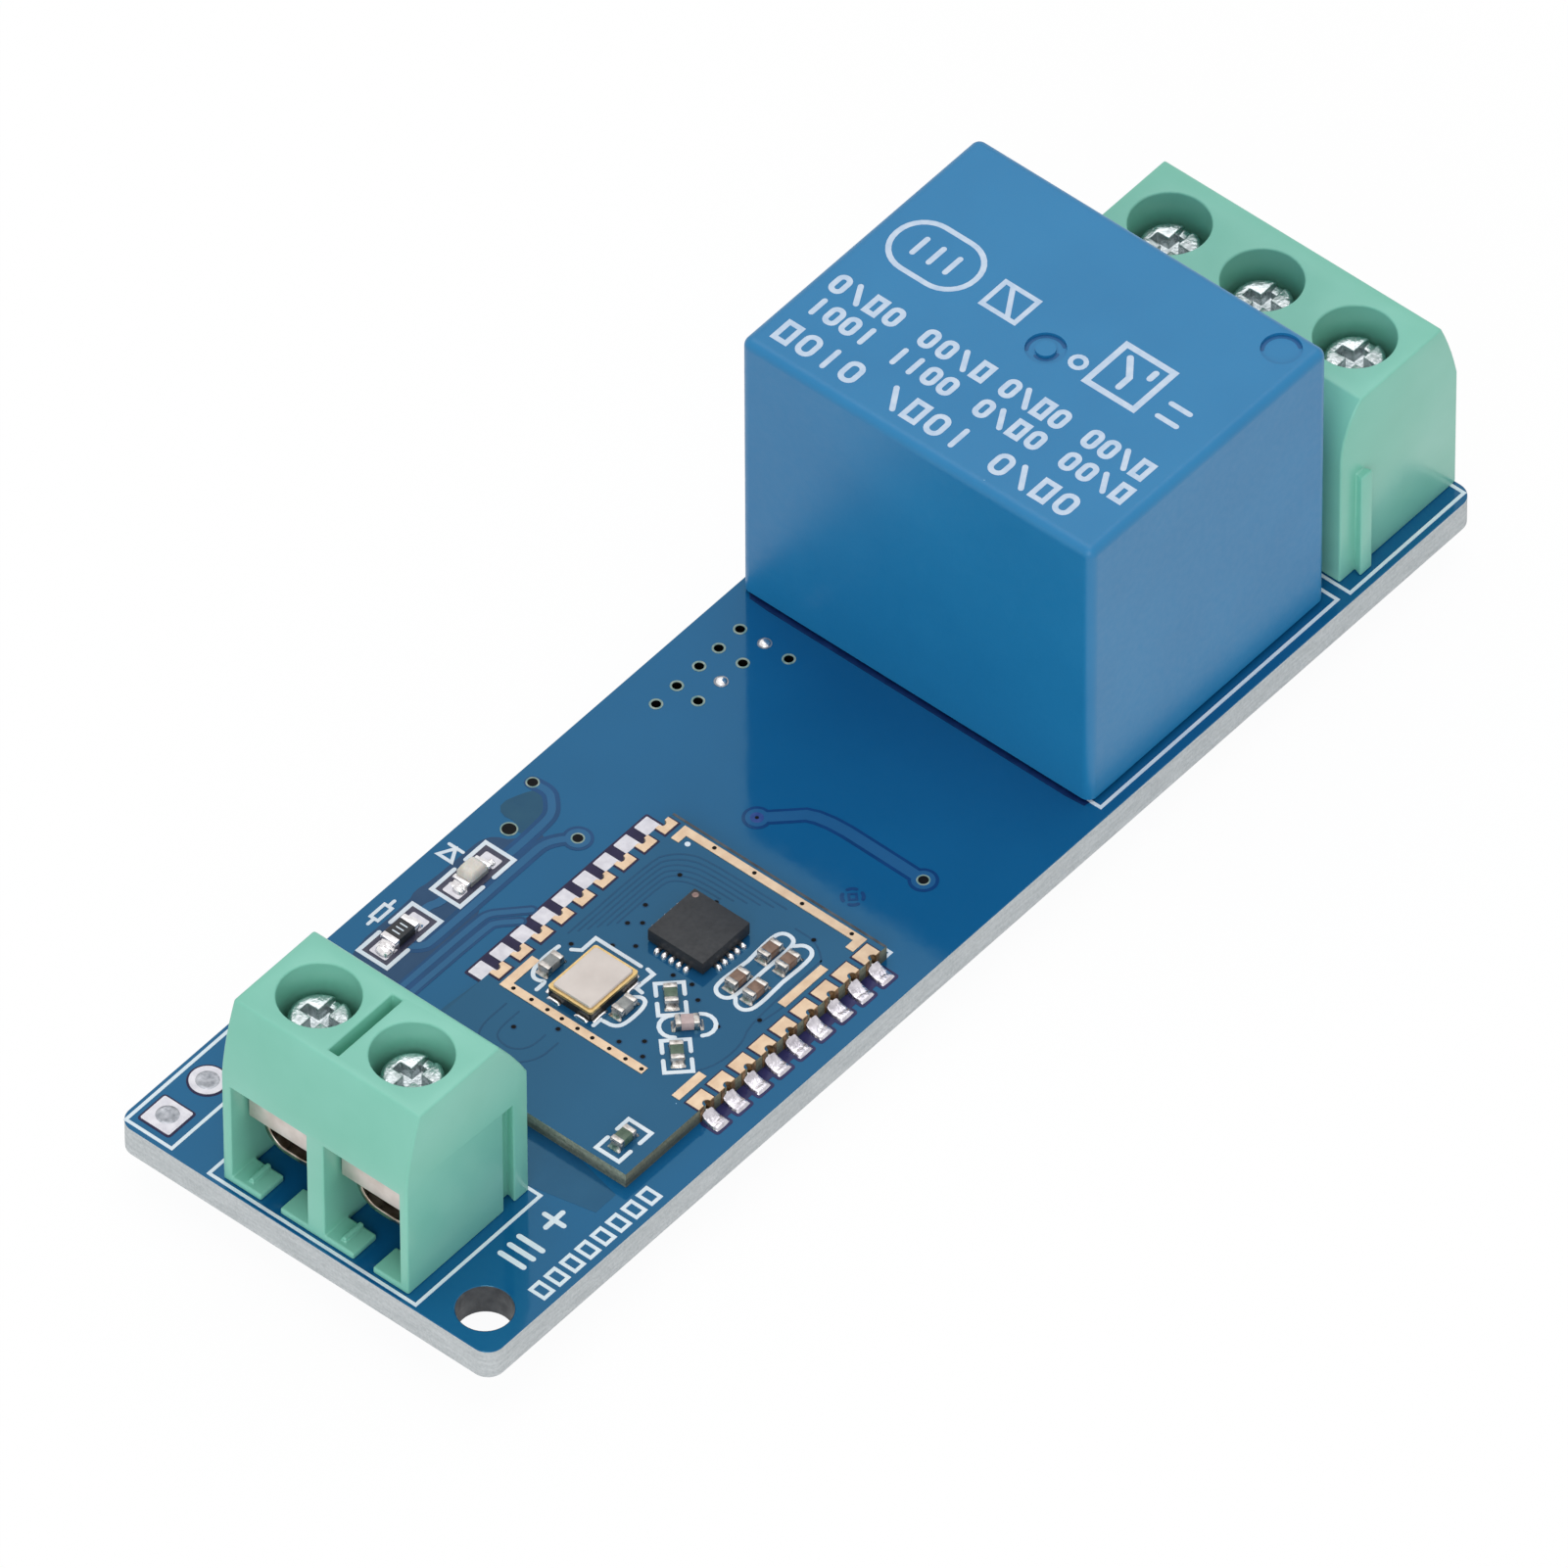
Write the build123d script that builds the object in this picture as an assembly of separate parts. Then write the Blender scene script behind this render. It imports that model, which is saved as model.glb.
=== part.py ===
"""Relay module board: a small circuit board with one sealed relay, two screw terminal blocks and a
soldered-on radio board.

Millimetres. +X runs along the board from the input terminal to the output terminal, +Y to the long
edge that carries the indicator, +Z up. The origin is under the middle of the board's outline, at the
tips of the soldered pins on which the board stands.
"""
from build123d import *
import math
import os

# Circuit board
board_length = 64.0
board_width = 20.5
board_thickness = 1.6
board_corner_radius = 0.8
mounting_hole_diameter = 2.5
mounting_hole_inset = 1.95
pin_hole_diameter = 1.4
pin_hole_sides = 16
pin_tail = 1.9

# Soldered joints
solder_clearance = 0.02
solder_cone_diameter = 2.4
solder_cone_height = 1.3
solder_cone_rim = 0.12
solder_cone_neck = 0.1
solder_cone_sides = 12
pad_thickness = 0.05

# Bare two-hole header beside the input terminal
header_from_end = 1.58
header_from_edge = 1.45
header_pitch = 2.54
header_hole_diameter = 0.95
header_square_pad = 1.6
header_round_pad = 1.6

# Screw terminal blocks, alike but for the number of poles and the profile
pole_pitch = 5.08
terminal_height = 10.3
screw_well_diameter = 3.6
entry_width = 4.15
entry_height = 5.9
entry_roof = 6.5
front_wall = 0.85
cavity_clearance = 0.2
ledge_thickness = 0.35
ledge_length = 1.5
ledge_gap = 1.05
ledge_gap_offset = -0.05
ledge_rib_width = 0.25
ledge_rib_height = 0.2
ledge_rib_start = 0.3
rail_from_rear = 1.25
rail_height = 6.0
rail_neck = 0.5
rail_head = 0.8
rail_depth = 0.42
rail_clearance = 0.06

input_poles = 2
input_from_end = 0.45
input_from_edge = 4.84
input_depth = 7.68
input_front_run = 0.9
input_front_drop = 3.8
input_front_bulge = 0.12
input_rear_run = 1.75
input_rear_drop = 2.9
input_rear_bulge = 0.06
input_setback = 3.35
divider_slot_length = 4.05
divider_slot_width = 0.55
divider_slot_depth = 3.3

output_poles = 3
output_from_end = 0.0
output_from_edge = 1.06
output_depth = 7.7
output_front_run = 1.1
output_front_drop = 3.5
output_front_bulge = 0.08
output_rear_run = 1.3
output_rear_drop = 2.9
output_rear_bulge = 0.3
output_setback = 3.78

# Wire clamp in each pole: fixed frame, sliding plate and screw
frame_width = 3.2
frame_depth = 3.6
frame_wall = 0.3
frame_bottom = 1.65
frame_corner_radius = 1.2
frame_nut_thickness = 1.3
frame_pin_width = 1.0
frame_pin_thickness = 0.8
screw_thread_diameter = 2.4
screw_clearance = 0.05
screw_head_diameter = 2.7
screw_head_height = 1.0
screw_top = 9.0
screw_shank_sides = 16
screw_head_bevel = 0.15
screw_recess_width = 0.5
screw_cross_length = 1.75
screw_recess_depth = 0.7
plate_bottom = 3.45
plate_thickness = 0.45
plate_tongue_width = 2.0
plate_tongue_reach = 1.2
plate_lip_width = 3.9
plate_lip_height = 1.5
plate_lip_thickness = 0.35
plate_lip_gap = 0.2
plate_screw_gap = 0.05

# Relay
relay_width = 15.5
relay_length = 19.2
relay_height = 15.3
relay_lift = 0.2
relay_wall = 0.9
relay_edge_radius = 0.45
relay_to_output = 1.1
relay_off_centre = 0.27
relay_mark_diameter = 1.8
relay_mark_depth = 0.15
relay_gate_x = 0.1
relay_gate_y = -0.55
relay_gate_ring = 0.45
relay_vent_inset_x = 1.3
relay_vent_inset_y = 1.5
relay_base_thickness = 1.5
relay_base_gap = 0.1
relay_base_inset = 0.1
relay_pin_width = 0.9
relay_pin_thickness = 0.5
relay_pin_clearance = 0.05
common_pin_from_end = 1.95
coil_pin_step = 2.0
contact_pins_from_end = 3.05
side_pin_offset = 6.0
yoke_thickness = 1.2
yoke_width = 9.0
yoke_foot_length = 9.4
yoke_stands = 12.05
flange_width = 13.4
flange_thickness = 0.8
flange_length = 9.4
flange_gap = 0.1
barrel_diameter = 5.2
winding_diameter = 8.8
core_diameter = 3.8
core_sides = 24
core_clearance = 0.03
core_head_diameter = 6.0
core_head_thickness = 0.6
magnet_gap = 0.5
hinge_gap = 0.05
armature_thickness = 0.9
armature_overhang = 0.8
spring_thickness = 0.2
spring_width = 3.0
contact_sides = 16
contact_neck_sides = 12
contact_diameter = 2.4
contact_button = 0.35
contact_gap = 0.05
armature_swing = 3.0
post_width = 1.6
post_thickness = 0.4
post_reach = 1.2
post_root = 0.2
spring_past_contact = 0.2
coil_pin_end = 0.4

# Radio board and what is soldered on it
radio_from_end = 10.82
radio_from_edge = 1.85
radio_length = 16.8
radio_width = 11.7
radio_thickness = 0.8
castellations = 9
castellation_pitch = 1.335
castellation_from_end = 0.78
castellation_notch_diameter = 0.42
castellation_notch_sides = 8
castellation_pad_width = 0.85
castellation_pad_length = 0.7
foil_thickness = 0.04
joint_width = 0.8
joint_reach = 0.95
joint_height = 0.5
ground_strip_width = 0.42
end_strip_inset = 0.27
end_strip_short = 0.85
end_strip_return = 0.5
inner_strip_from_end = 4.9
inner_strip_length = 7.8
inner_strip_from_edge = 0.75
inner_strip_return = 2.1
side_strip_from_edge = 1.2
long_side_strip = 2.77
long_side_from_end = 2.62
short_side_strip = 1.75
short_side_offset = -0.1
chip_size = 3.05
chip_height = 0.75
chip_x = 12.08
chip_y = 6.3
chip_leads = 5
chip_lead_pitch = 0.4
chip_lead_width = 0.22
chip_lead_out = 0.2
chip_lead_height = 0.12
lead_gap = 0.01
crystal_length = 3.1
crystal_width = 2.4
crystal_height = 0.55
crystal_lid_inset = 0.14
crystal_lid_thickness = 0.12
crystal_x = 7.1
crystal_y = 7.85
small_chip_length = 1.0
small_chip_width = 0.52
small_chip_height = 0.4
small_chip_cap = 0.27
body_inset = 0.02
decoupling_x = 11.2
decoupling_y = 2.45
decoupling_step_x = 2.1
decoupling_step_y = 0.98
load_cap_x = 6.85
load_cap_y = 9.95
load_cap_step = 3.9
load_cap_offset = 0.15
match_x = 8.7
match_y = 4.95
match_step = 2.28
match_angle = 45.0
coil_x = 8.0
coil_y = 3.45
aerial_x = 1.38
aerial_y = 1.3

# Indicator and its resistor
indicator_length = 1.6
indicator_width = 0.85
indicator_base_height = 0.25
indicator_lens_height = 0.4
indicator_from_end = 20.0
indicator_from_edge = 2.33
indicator_cap = 0.25
indicator_cap_height = 0.35
resistor_from_end = 15.45
resistor_from_edge = 2.27
resistor_length = 1.6
resistor_width = 0.85
resistor_height = 0.5
resistor_cap = 0.32

# Small parts under the board
regulator_length = 4.5
regulator_width = 2.5
regulator_height = 1.5
regulator_from_relay = 10.45
regulator_from_edge = 5.0
transistor_length = 2.9
transistor_width = 1.3
transistor_height = 1.0
transistor_from_relay = 5.95
transistor_from_edge = 12.0
leg_width = 0.45
leg_out = 0.65
leg_thickness = 0.25
diode_length = 2.7
diode_width = 1.6
diode_height = 1.15
diode_cap = 0.35
diode_from_relay = 5.95
diode_from_edge = 16.0
under_resistors = 3
resistors_from_relay = 11.95
resistors_from_edge = 12.0
under_capacitors = 2
capacitors_from_relay = 15.45
capacitors_from_edge = 5.0
under_step = 1.9

# Levels and reference lines worked out from the sizes above
board_top = pin_tail + board_thickness
near_edge = -board_width / 2
far_edge = board_width / 2
input_end = -board_length / 2
output_end = board_length / 2
relay_base_top = relay_lift + relay_base_thickness + relay_base_gap
relay_x = output_end - output_from_end - output_depth - relay_to_output - relay_width / 2
relay_y = relay_off_centre
core_top = yoke_stands - magnet_gap
armature_bottom = yoke_stands + hinge_gap
armature_top = armature_bottom + armature_thickness
common_y = -relay_length / 2 + common_pin_from_end
coil_pin_y = common_y + coil_pin_step
contact_y = relay_length / 2 - contact_pins_from_end
yoke_rear = common_y + relay_pin_thickness / 2
yoke_front = yoke_rear + yoke_thickness
coil_y_centre = yoke_front + flange_gap + flange_length / 2
contact_drop = (contact_y - yoke_front) * math.sin(math.radians(armature_swing))


def block(x0, x1, y0, y1, z0, z1):
    """A box between two corners."""
    middle = Pos((x0 + x1) / 2, (y0 + y1) / 2, (z0 + z1) / 2)
    return middle * Box(abs(x1 - x0), abs(y1 - y0), abs(z1 - z0))


def rod(x, y, z0, z1, diameter):
    """A round rod standing on (x, y) between two heights."""
    return Pos(x, y, (z0 + z1) / 2) * Cylinder(diameter / 2, abs(z1 - z0))


def many_sided(x, y, z0, z1, diameter, sides):
    """A rod with flat sides, for what is round but small or hidden."""
    return Pos(x, y, z0) * extrude(RegularPolygon(diameter / 2, sides), z1 - z0)


def post(x, y, z0, z1, width, thickness, gap=0.0):
    """A flat-sided pin standing on (x, y), or with a gap the hole for it."""
    half = width / 2 + gap
    side = thickness / 2 + gap
    return block(x - half, x + half, y - side, y + side, z0, z1)


def along_x(sketch, x0, x1):
    """A section drawn in Y and Z, pushed from one X to another."""
    return extrude(Plane.YZ.offset(x0) * sketch, x1 - x0)


def on_board(x_from_end, y_from_edge=0.0, height=0.0):
    """A place measured from the input end, the far edge and the board's top face."""
    return Pos(input_end + x_from_end, far_edge - y_from_edge, board_top + height)


def save(name, solids):
    """Writes one named piece, or a set of like pieces, to its own file."""
    solids = solids if isinstance(solids, list) else [solids]
    pieces = [solid for shape in solids for solid in shape.solids()]
    made = pieces[0] if len(pieces) == 1 else Compound(children=pieces)
    made.label = name
    export_step(made, f"parts/{name}.step")


# Circuit board and its bare header

def terminal_pins(poles, from_edge, screw_x):
    """Where one block's pins stand: one in the middle of each pole."""
    first = near_edge + from_edge + pole_pitch / 2
    return [(screw_x, first + pole_pitch * pole) for pole in range(poles)]


input_screw_x = input_end + input_from_end + input_setback
output_screw_x = output_end - output_from_end - output_setback
input_pins = terminal_pins(input_poles, input_from_edge, input_screw_x)
output_pins = terminal_pins(output_poles, output_from_edge, output_screw_x)
relay_pins = [
    (relay_x, relay_y + common_y),
    (relay_x - side_pin_offset, relay_y + coil_pin_y),
    (relay_x + side_pin_offset, relay_y + coil_pin_y),
    (relay_x - side_pin_offset, relay_y + contact_y),
    (relay_x + side_pin_offset, relay_y + contact_y),
]
header_holes = [
    (input_end + header_from_end + header_pitch * hole, far_edge - header_from_edge) for hole in range(2)
]
mounting_holes = [
    (input_end + mounting_hole_inset, near_edge + mounting_hole_inset),
    (output_end - mounting_hole_inset, far_edge - mounting_hole_inset),
]


def main_board():
    outline = RectangleRounded(board_length, board_width, board_corner_radius)
    board = Pos(0, 0, pin_tail) * extrude(outline, board_thickness)
    for x, y in input_pins + output_pins + relay_pins:
        board -= many_sided(x, y, 0, board_top + 1, pin_hole_diameter, pin_hole_sides)
    for x, y in mounting_holes:
        board -= rod(x, y, 0, board_top + 1, mounting_hole_diameter)
    for x, y in header_holes:
        board -= many_sided(x, y, 0, board_top + 1, header_hole_diameter, pin_hole_sides)
    return board


def header_pads():
    """Tinned pads on both faces, joined by the solder that fills each hole."""
    pads = []
    for index, (x, y) in enumerate(header_holes):
        fill = header_hole_diameter - 2 * solder_clearance
        pad = many_sided(x, y, pin_tail - pad_thickness, board_top + pad_thickness, fill, pin_hole_sides)
        for z in (pin_tail - pad_thickness, board_top):
            if index == 0:
                half = header_square_pad / 2
                pad += block(x - half, x + half, y - half, y + half, z, z + pad_thickness)
            else:
                pad += rod(x, y, z, z + pad_thickness, header_round_pad)
        pads.append(pad)
    return pads


def solder_joint(x, y, width, thickness):
    """A cone of solder round one pin, on the board's underside."""
    neck = math.hypot(width, thickness) / 2 + solder_cone_neck
    inwards = (solder_cone_diameter / 2 - neck) * math.cos(math.pi / solder_cone_sides)
    upwards = solder_cone_height - solder_cone_rim
    low = pin_tail - solder_cone_height
    cone = many_sided(x, y, low, pin_tail, solder_cone_diameter, solder_cone_sides)
    foot = cone.faces().sort_by(Axis.Z)[0]
    cone = chamfer(foot.edges(), inwards, upwards, reference=foot)
    return cone - post(x, y, 0, pin_tail + 1, width, thickness, solder_clearance)


# Screw terminal blocks

def terminal_profile(depth, front, rear):
    """The end view: upright below, leaning in to the flat top. Each lean is (run, drop, bulge)."""
    front_run, front_drop, front_bulge = front
    rear_run, rear_drop, rear_bulge = rear
    top = terminal_height
    front_low = (0, top - front_drop)
    front_high = (front_run, top)
    rear_high = (depth - rear_run, top)
    rear_low = (depth, top - rear_drop)

    def lean(start, end, bulge, side):
        middle = ((start[0] + end[0]) / 2 + side * bulge, (start[1] + end[1]) / 2 + bulge / 2)
        return ThreePointArc(start, middle, end)

    edges = [
        Line((0, 0), front_low),
        lean(front_low, front_high, front_bulge, -1),
        Line(front_high, rear_high),
        lean(rear_high, rear_low, rear_bulge, 1),
        Line(rear_low, (depth, 0)),
        Line((depth, 0), (0, 0)),
    ]
    return make_face(edges)


def rail(neck, head, depth, height):
    """A dovetail strip standing along Z: neck at y = 0, wider head at y = depth."""
    outline = Polyline((-neck / 2, 0), (-head / 2, depth), (head / 2, depth), (neck / 2, 0), close=True)
    return extrude(make_face(outline), height)


def pole_cavity(y, setback):
    """The room for one clamp: wire entry in front, well for the screw above."""
    half = entry_width / 2
    back = setback + frame_depth / 2 + cavity_clearance
    cavity = block(-1, back, y - half, y + half, -1, entry_height)
    cavity += block(front_wall, back, y - half, y + half, 0, entry_roof)
    cavity += rod(setback, y, entry_roof - 1, terminal_height + 1, screw_well_diameter)
    return cavity


def pole_ledges(y):
    """Two short ledges low in the entry, with a gap between them and a rib on one."""
    half = entry_width / 2
    gap_low = y + ledge_gap_offset - ledge_gap / 2
    gap_high = gap_low + ledge_gap
    root = (pole_pitch - entry_width) / 4
    ledges = block(0, ledge_length, y - half - root, gap_low, 0, ledge_thickness)
    ledges += block(0, ledge_length, gap_high, y + half + root, 0, ledge_thickness)
    rib_y = (gap_high + y + half) / 2
    rib_top = ledge_thickness + ledge_rib_height
    ledges += block(ledge_rib_start, ledge_length, rib_y - ledge_rib_width / 2,
                    rib_y + ledge_rib_width / 2, 0, rib_top)
    return ledges


def terminal_housing(poles, depth, setback, front, rear, slotted):
    """One moulding, its front face at x = 0 looking to -X, centred on y = 0, its foot at z = 0."""
    half = poles * pole_pitch / 2
    body = extrude(Plane.XZ * terminal_profile(depth, front, rear), half, both=True)
    rail_x = depth - rail_from_rear
    groove = rail(rail_neck + 2 * rail_clearance, rail_head + 2 * rail_clearance,
                  rail_depth + rail_clearance, rail_height)
    body -= Pos(rail_x, -half, 0) * groove
    body += Pos(rail_x, half, 0) * rail(rail_neck, rail_head, rail_depth, rail_height)
    places = [pole_pitch * (pole - (poles - 1) / 2) for pole in range(poles)]
    for y in places:
        body -= pole_cavity(y, setback)
    for y in places:
        body += pole_ledges(y)
    if slotted:
        for y in places[1:]:
            middle = y - pole_pitch / 2
            low = setback - divider_slot_length / 2
            body -= block(low, low + divider_slot_length, middle - divider_slot_width / 2,
                          middle + divider_slot_width / 2, terminal_height - divider_slot_depth,
                          terminal_height + 1)
    return body


def clamp_frame(setback):
    """The fixed metal frame of one pole: a folded loop, a thick threaded top and a solder pin."""
    nut_top = entry_roof
    nut_bottom = nut_top - frame_nut_thickness
    height = nut_top - frame_bottom
    middle = frame_bottom + height / 2
    outer = Pos(0, middle) * Rectangle(frame_width, height)
    outer = fillet(outer.vertices().sort_by(Axis.Y)[:2], frame_corner_radius)
    inner_low = frame_bottom + frame_wall
    inner_height = nut_bottom - inner_low
    inner = Pos(0, inner_low + inner_height / 2) * Rectangle(frame_width - 2 * frame_wall, inner_height)
    inner = fillet(inner.vertices().sort_by(Axis.Y)[:2], frame_corner_radius - frame_wall)
    front = setback - frame_depth / 2
    frame = along_x(outer - inner, front, front + frame_depth)
    bore = screw_thread_diameter + 2 * screw_clearance
    frame -= rod(setback, 0, nut_bottom - 1, nut_top + 1, bore)
    frame += post(setback, 0, -board_top, frame_bottom + frame_wall / 2, frame_pin_width, frame_pin_thickness)
    return frame


def clamp_plate(setback):
    """The plate that the screw pushes down on the wire, with a wide lip in front of the frame."""
    lip_back = setback - frame_depth / 2 - plate_lip_gap
    lip_front = lip_back - plate_lip_thickness
    half = plate_lip_width / 2
    plate = block(lip_front, lip_back, -half, half, plate_bottom, plate_bottom + plate_lip_height)
    tongue = plate_tongue_width / 2
    plate += block(lip_front, setback + plate_tongue_reach, -tongue, tongue, plate_bottom,
                   plate_bottom + plate_thickness)
    return plate


def clamp_screw(setback):
    """A screw with a small bevelled head and a combined slot and cross recess."""
    tip = plate_bottom + plate_thickness + plate_screw_gap
    head_low = screw_top - screw_head_height
    head = rod(0, 0, head_low, screw_top, screw_head_diameter)
    head = chamfer(head.edges().filter_by(GeomType.CIRCLE).sort_by(Axis.Z)[-1], screw_head_bevel)
    shank_top = screw_top - screw_recess_depth
    screw = head + many_sided(0, 0, tip, shank_top, screw_thread_diameter, screw_shank_sides)
    floor = screw_top - screw_recess_depth
    reach = screw_head_diameter
    width = screw_recess_width / 2
    screw -= block(-reach, reach, -width, width, (floor + screw_top) / 2, screw_top + 1)
    half = screw_cross_length / 2
    screw -= block(-half, half, -width, width, floor, screw_top + 1)
    screw -= block(-width, width, -half, half, floor, screw_top + 1)
    return Pos(setback, 0, 0) * screw


# Relay, in its own frame: middle of its footprint, heights from the board's top face

def relay_cover():
    top = relay_lift + relay_height
    shell = Pos(0, 0, (relay_lift + top) / 2) * Box(relay_width, relay_length, relay_height)
    rounded = shell.edges().filter_by(Axis.Z) + shell.faces().sort_by(Axis.Z)[-1].edges()
    shell = fillet(rounded, relay_edge_radius)
    inner_x = relay_width / 2 - relay_wall
    inner_y = relay_length / 2 - relay_wall
    shell -= block(-inner_x, inner_x, -inner_y, inner_y, relay_lift - 1, top - relay_wall)
    gate = rod(relay_gate_x, relay_gate_y, top - relay_mark_depth, top + 1, relay_mark_diameter)
    gate -= rod(relay_gate_x, relay_gate_y, 0, top + 1, relay_mark_diameter - 2 * relay_gate_ring)
    vent_x = relay_width / 2 - relay_vent_inset_x
    vent_y = -relay_length / 2 + relay_vent_inset_y
    vent = rod(vent_x, vent_y, top - relay_mark_depth, top + 1, relay_mark_diameter)
    return shell - gate - vent


def relay_base():
    half_x = relay_width / 2 - relay_wall - relay_base_inset
    half_y = relay_length / 2 - relay_wall - relay_base_inset
    low = relay_base_top - relay_base_thickness
    base = block(-half_x, half_x, -half_y, half_y, low, relay_base_top)
    for x, y in relay_pins:
        base -= post(x - relay_x, y - relay_y, 0, relay_base_top + 1, relay_pin_width,
                     relay_pin_thickness, relay_pin_clearance)
    return base


def relay_yoke():
    """A bent iron plate: foot under the coil, upright behind it."""
    half = yoke_width / 2
    foot_top = relay_base_top + yoke_thickness
    foot = block(-half, half, yoke_rear, yoke_rear + yoke_foot_length, relay_base_top, foot_top)
    upright = block(-half, half, yoke_rear, yoke_front, relay_base_top, yoke_stands)
    bore = core_diameter + 2 * core_clearance
    return foot + upright - rod(0, coil_y_centre, 0, foot_top + 1, bore)


def relay_core():
    stem = many_sided(0, coil_y_centre, relay_base_top, core_top, core_diameter, core_sides)
    head_low = core_top - core_head_thickness
    return stem + many_sided(0, coil_y_centre, head_low, core_top, core_head_diameter, core_sides)


def relay_bobbin():
    low = relay_base_top + yoke_thickness
    high = core_top - core_head_thickness
    half_y = flange_length / 2
    bobbin = rod(0, coil_y_centre, low, high, barrel_diameter)
    for z in (low, high - flange_thickness):
        half_x = flange_width / 2 if z == low else winding_diameter / 2 + flange_gap
        bobbin += block(-half_x, half_x, coil_y_centre - half_y, coil_y_centre + half_y,
                        z, z + flange_thickness)
    bobbin -= rod(0, coil_y_centre, 0, high + 1, core_diameter + 2 * core_clearance)
    for side in (-1, 1):
        bobbin -= post(side * side_pin_offset, coil_pin_y, 0, low + flange_thickness + 1,
                       relay_pin_width, relay_pin_thickness, solder_clearance)
    return bobbin


def relay_coil():
    low = relay_base_top + yoke_thickness + flange_thickness
    high = core_top - core_head_thickness - flange_thickness
    winding = rod(0, coil_y_centre, low + solder_clearance, high - solder_clearance, winding_diameter)
    return winding - rod(0, coil_y_centre, 0, high + 1, barrel_diameter + 2 * solder_clearance)


def relay_coil_pins():
    top = relay_base_top + yoke_thickness + flange_thickness + coil_pin_end
    return [post(side * side_pin_offset, coil_pin_y, -board_top, top, relay_pin_width, relay_pin_thickness)
            for side in (-1, 1)]


def relay_common_pin():
    """A flat pin whose upper end lies against the yoke's back."""
    return post(0, common_y, -board_top, yoke_stands / 2, relay_pin_width, relay_pin_thickness)


def contact_post(side, arm_low):
    """A fixed contact's post: pin, upright strip and an arm that reaches over to the middle."""
    x = side * side_pin_offset
    half = post_width / 2
    holder = post(x, contact_y, -board_top, relay_base_top + post_root, relay_pin_width, relay_pin_thickness)
    holder += post(x, contact_y, relay_base_top, arm_low + post_thickness, post_width, post_thickness)
    holder += block(-side * post_reach, x + side * half, contact_y - half, contact_y + half,
                    arm_low, arm_low + post_thickness)
    return holder


moving_low = armature_top - contact_button
moving_high = armature_top + spring_thickness + contact_button
open_button_top = moving_low - contact_drop - contact_gap
closed_button_low = moving_high + contact_gap


def relay_open_contact():
    """Lies under the moving contact and is touched when the coil pulls."""
    button_low = open_button_top - contact_button
    holder = contact_post(1, button_low - post_thickness)
    return holder + rod(0, contact_y, button_low - post_thickness, open_button_top, contact_diameter)


def relay_closed_contact():
    """Lies over the moving contact and is touched at rest."""
    arm_low = closed_button_low + contact_button
    holder = contact_post(-1, arm_low)
    return holder + rod(0, contact_y, closed_button_low, arm_low + post_thickness, contact_diameter)


def relay_armature():
    half = yoke_width / 2
    front = coil_y_centre + core_head_diameter / 2 + armature_overhang
    return block(-half, half, yoke_rear, front, armature_bottom, armature_top)


def relay_contact_spring():
    """A leaf riveted on the armature, reaching out to the moving contact."""
    half = spring_width / 2
    reach = contact_y + contact_diameter / 2 + spring_past_contact
    leaf = block(-half, half, yoke_front, reach, armature_top, armature_top + spring_thickness)
    hole = contact_diameter / 2 + 2 * solder_clearance
    return leaf - rod(0, contact_y, 0, armature_top + 1, hole)


def relay_moving_contact():
    """A double-headed rivet through the leaf's end."""
    leaf_top = armature_top + spring_thickness
    lower = many_sided(0, contact_y, moving_low, armature_top, contact_diameter, contact_sides)
    neck = many_sided(0, contact_y, armature_top, leaf_top, contact_diameter / 2, contact_neck_sides)
    upper = many_sided(0, contact_y, leaf_top, moving_high, contact_diameter, contact_sides)
    return lower + neck + upper


# Radio board, in its own frame: input-end near corner, heights from the main board's top face

radio_x = input_end + radio_from_end
radio_y = near_edge + radio_from_edge
radio_place = Pos(radio_x, radio_y, board_top)


def castellation_places():
    """The half-holes along both long edges: (x, edge y, direction outwards)."""
    last = radio_length - castellation_from_end
    columns = [last - castellation_pitch * index for index in range(castellations)]
    return [(x, y, out) for y, out in ((0.0, -1), (radio_width, 1)) for x in columns]


def half_hole(x, y, z0, z1, diameter):
    """The tool for one half-hole, with flat sides so that eighteen of them stay light."""
    outline = RegularPolygon(diameter / 2, castellation_notch_sides)
    return Pos(x, y, z0) * extrude(outline, z1 - z0)


def radio_board():
    board = block(0, radio_length, 0, radio_width, 0, radio_thickness)
    for x, y, out in castellation_places():
        board -= half_hole(x, y, -1, radio_thickness + 1, castellation_notch_diameter)
    return board


def foil(x0, x1, y0, y1):
    return block(x0, x1, y0, y1, radio_thickness, radio_thickness + foil_thickness)


def radio_pads():
    pads = []
    for x, y, out in castellation_places():
        half = castellation_pad_width / 2
        pad = foil(x - half, x + half, y - out * castellation_pad_length, y)
        pads.append(pad - half_hole(x, y, 0, radio_thickness + 1, castellation_notch_diameter))
    return pads


def radio_ground_strips():
    """The bare strips that a screening can would be soldered to."""
    width = ground_strip_width
    right = radio_length - end_strip_inset
    low = end_strip_short
    high = radio_width - end_strip_short
    end = foil(right - width, right, low, high)
    for y in (low, high - width):
        end += foil(right - width - end_strip_return, right, y, y + width)
    left = inner_strip_from_end - width / 2
    top = radio_width - inner_strip_from_edge
    inner = foil(left, left + width, top - inner_strip_length, top)
    inner += foil(left, left + inner_strip_return, top - width, top)
    side_y = side_strip_from_edge - width / 2
    side_right = radio_length - long_side_from_end
    long_side = foil(side_right - long_side_strip, side_right, side_y, side_y + width)
    short_left = left + short_side_offset
    short_side = foil(short_left, short_left + short_side_strip, side_y, side_y + width)
    return [end, inner, long_side, short_side]


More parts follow.
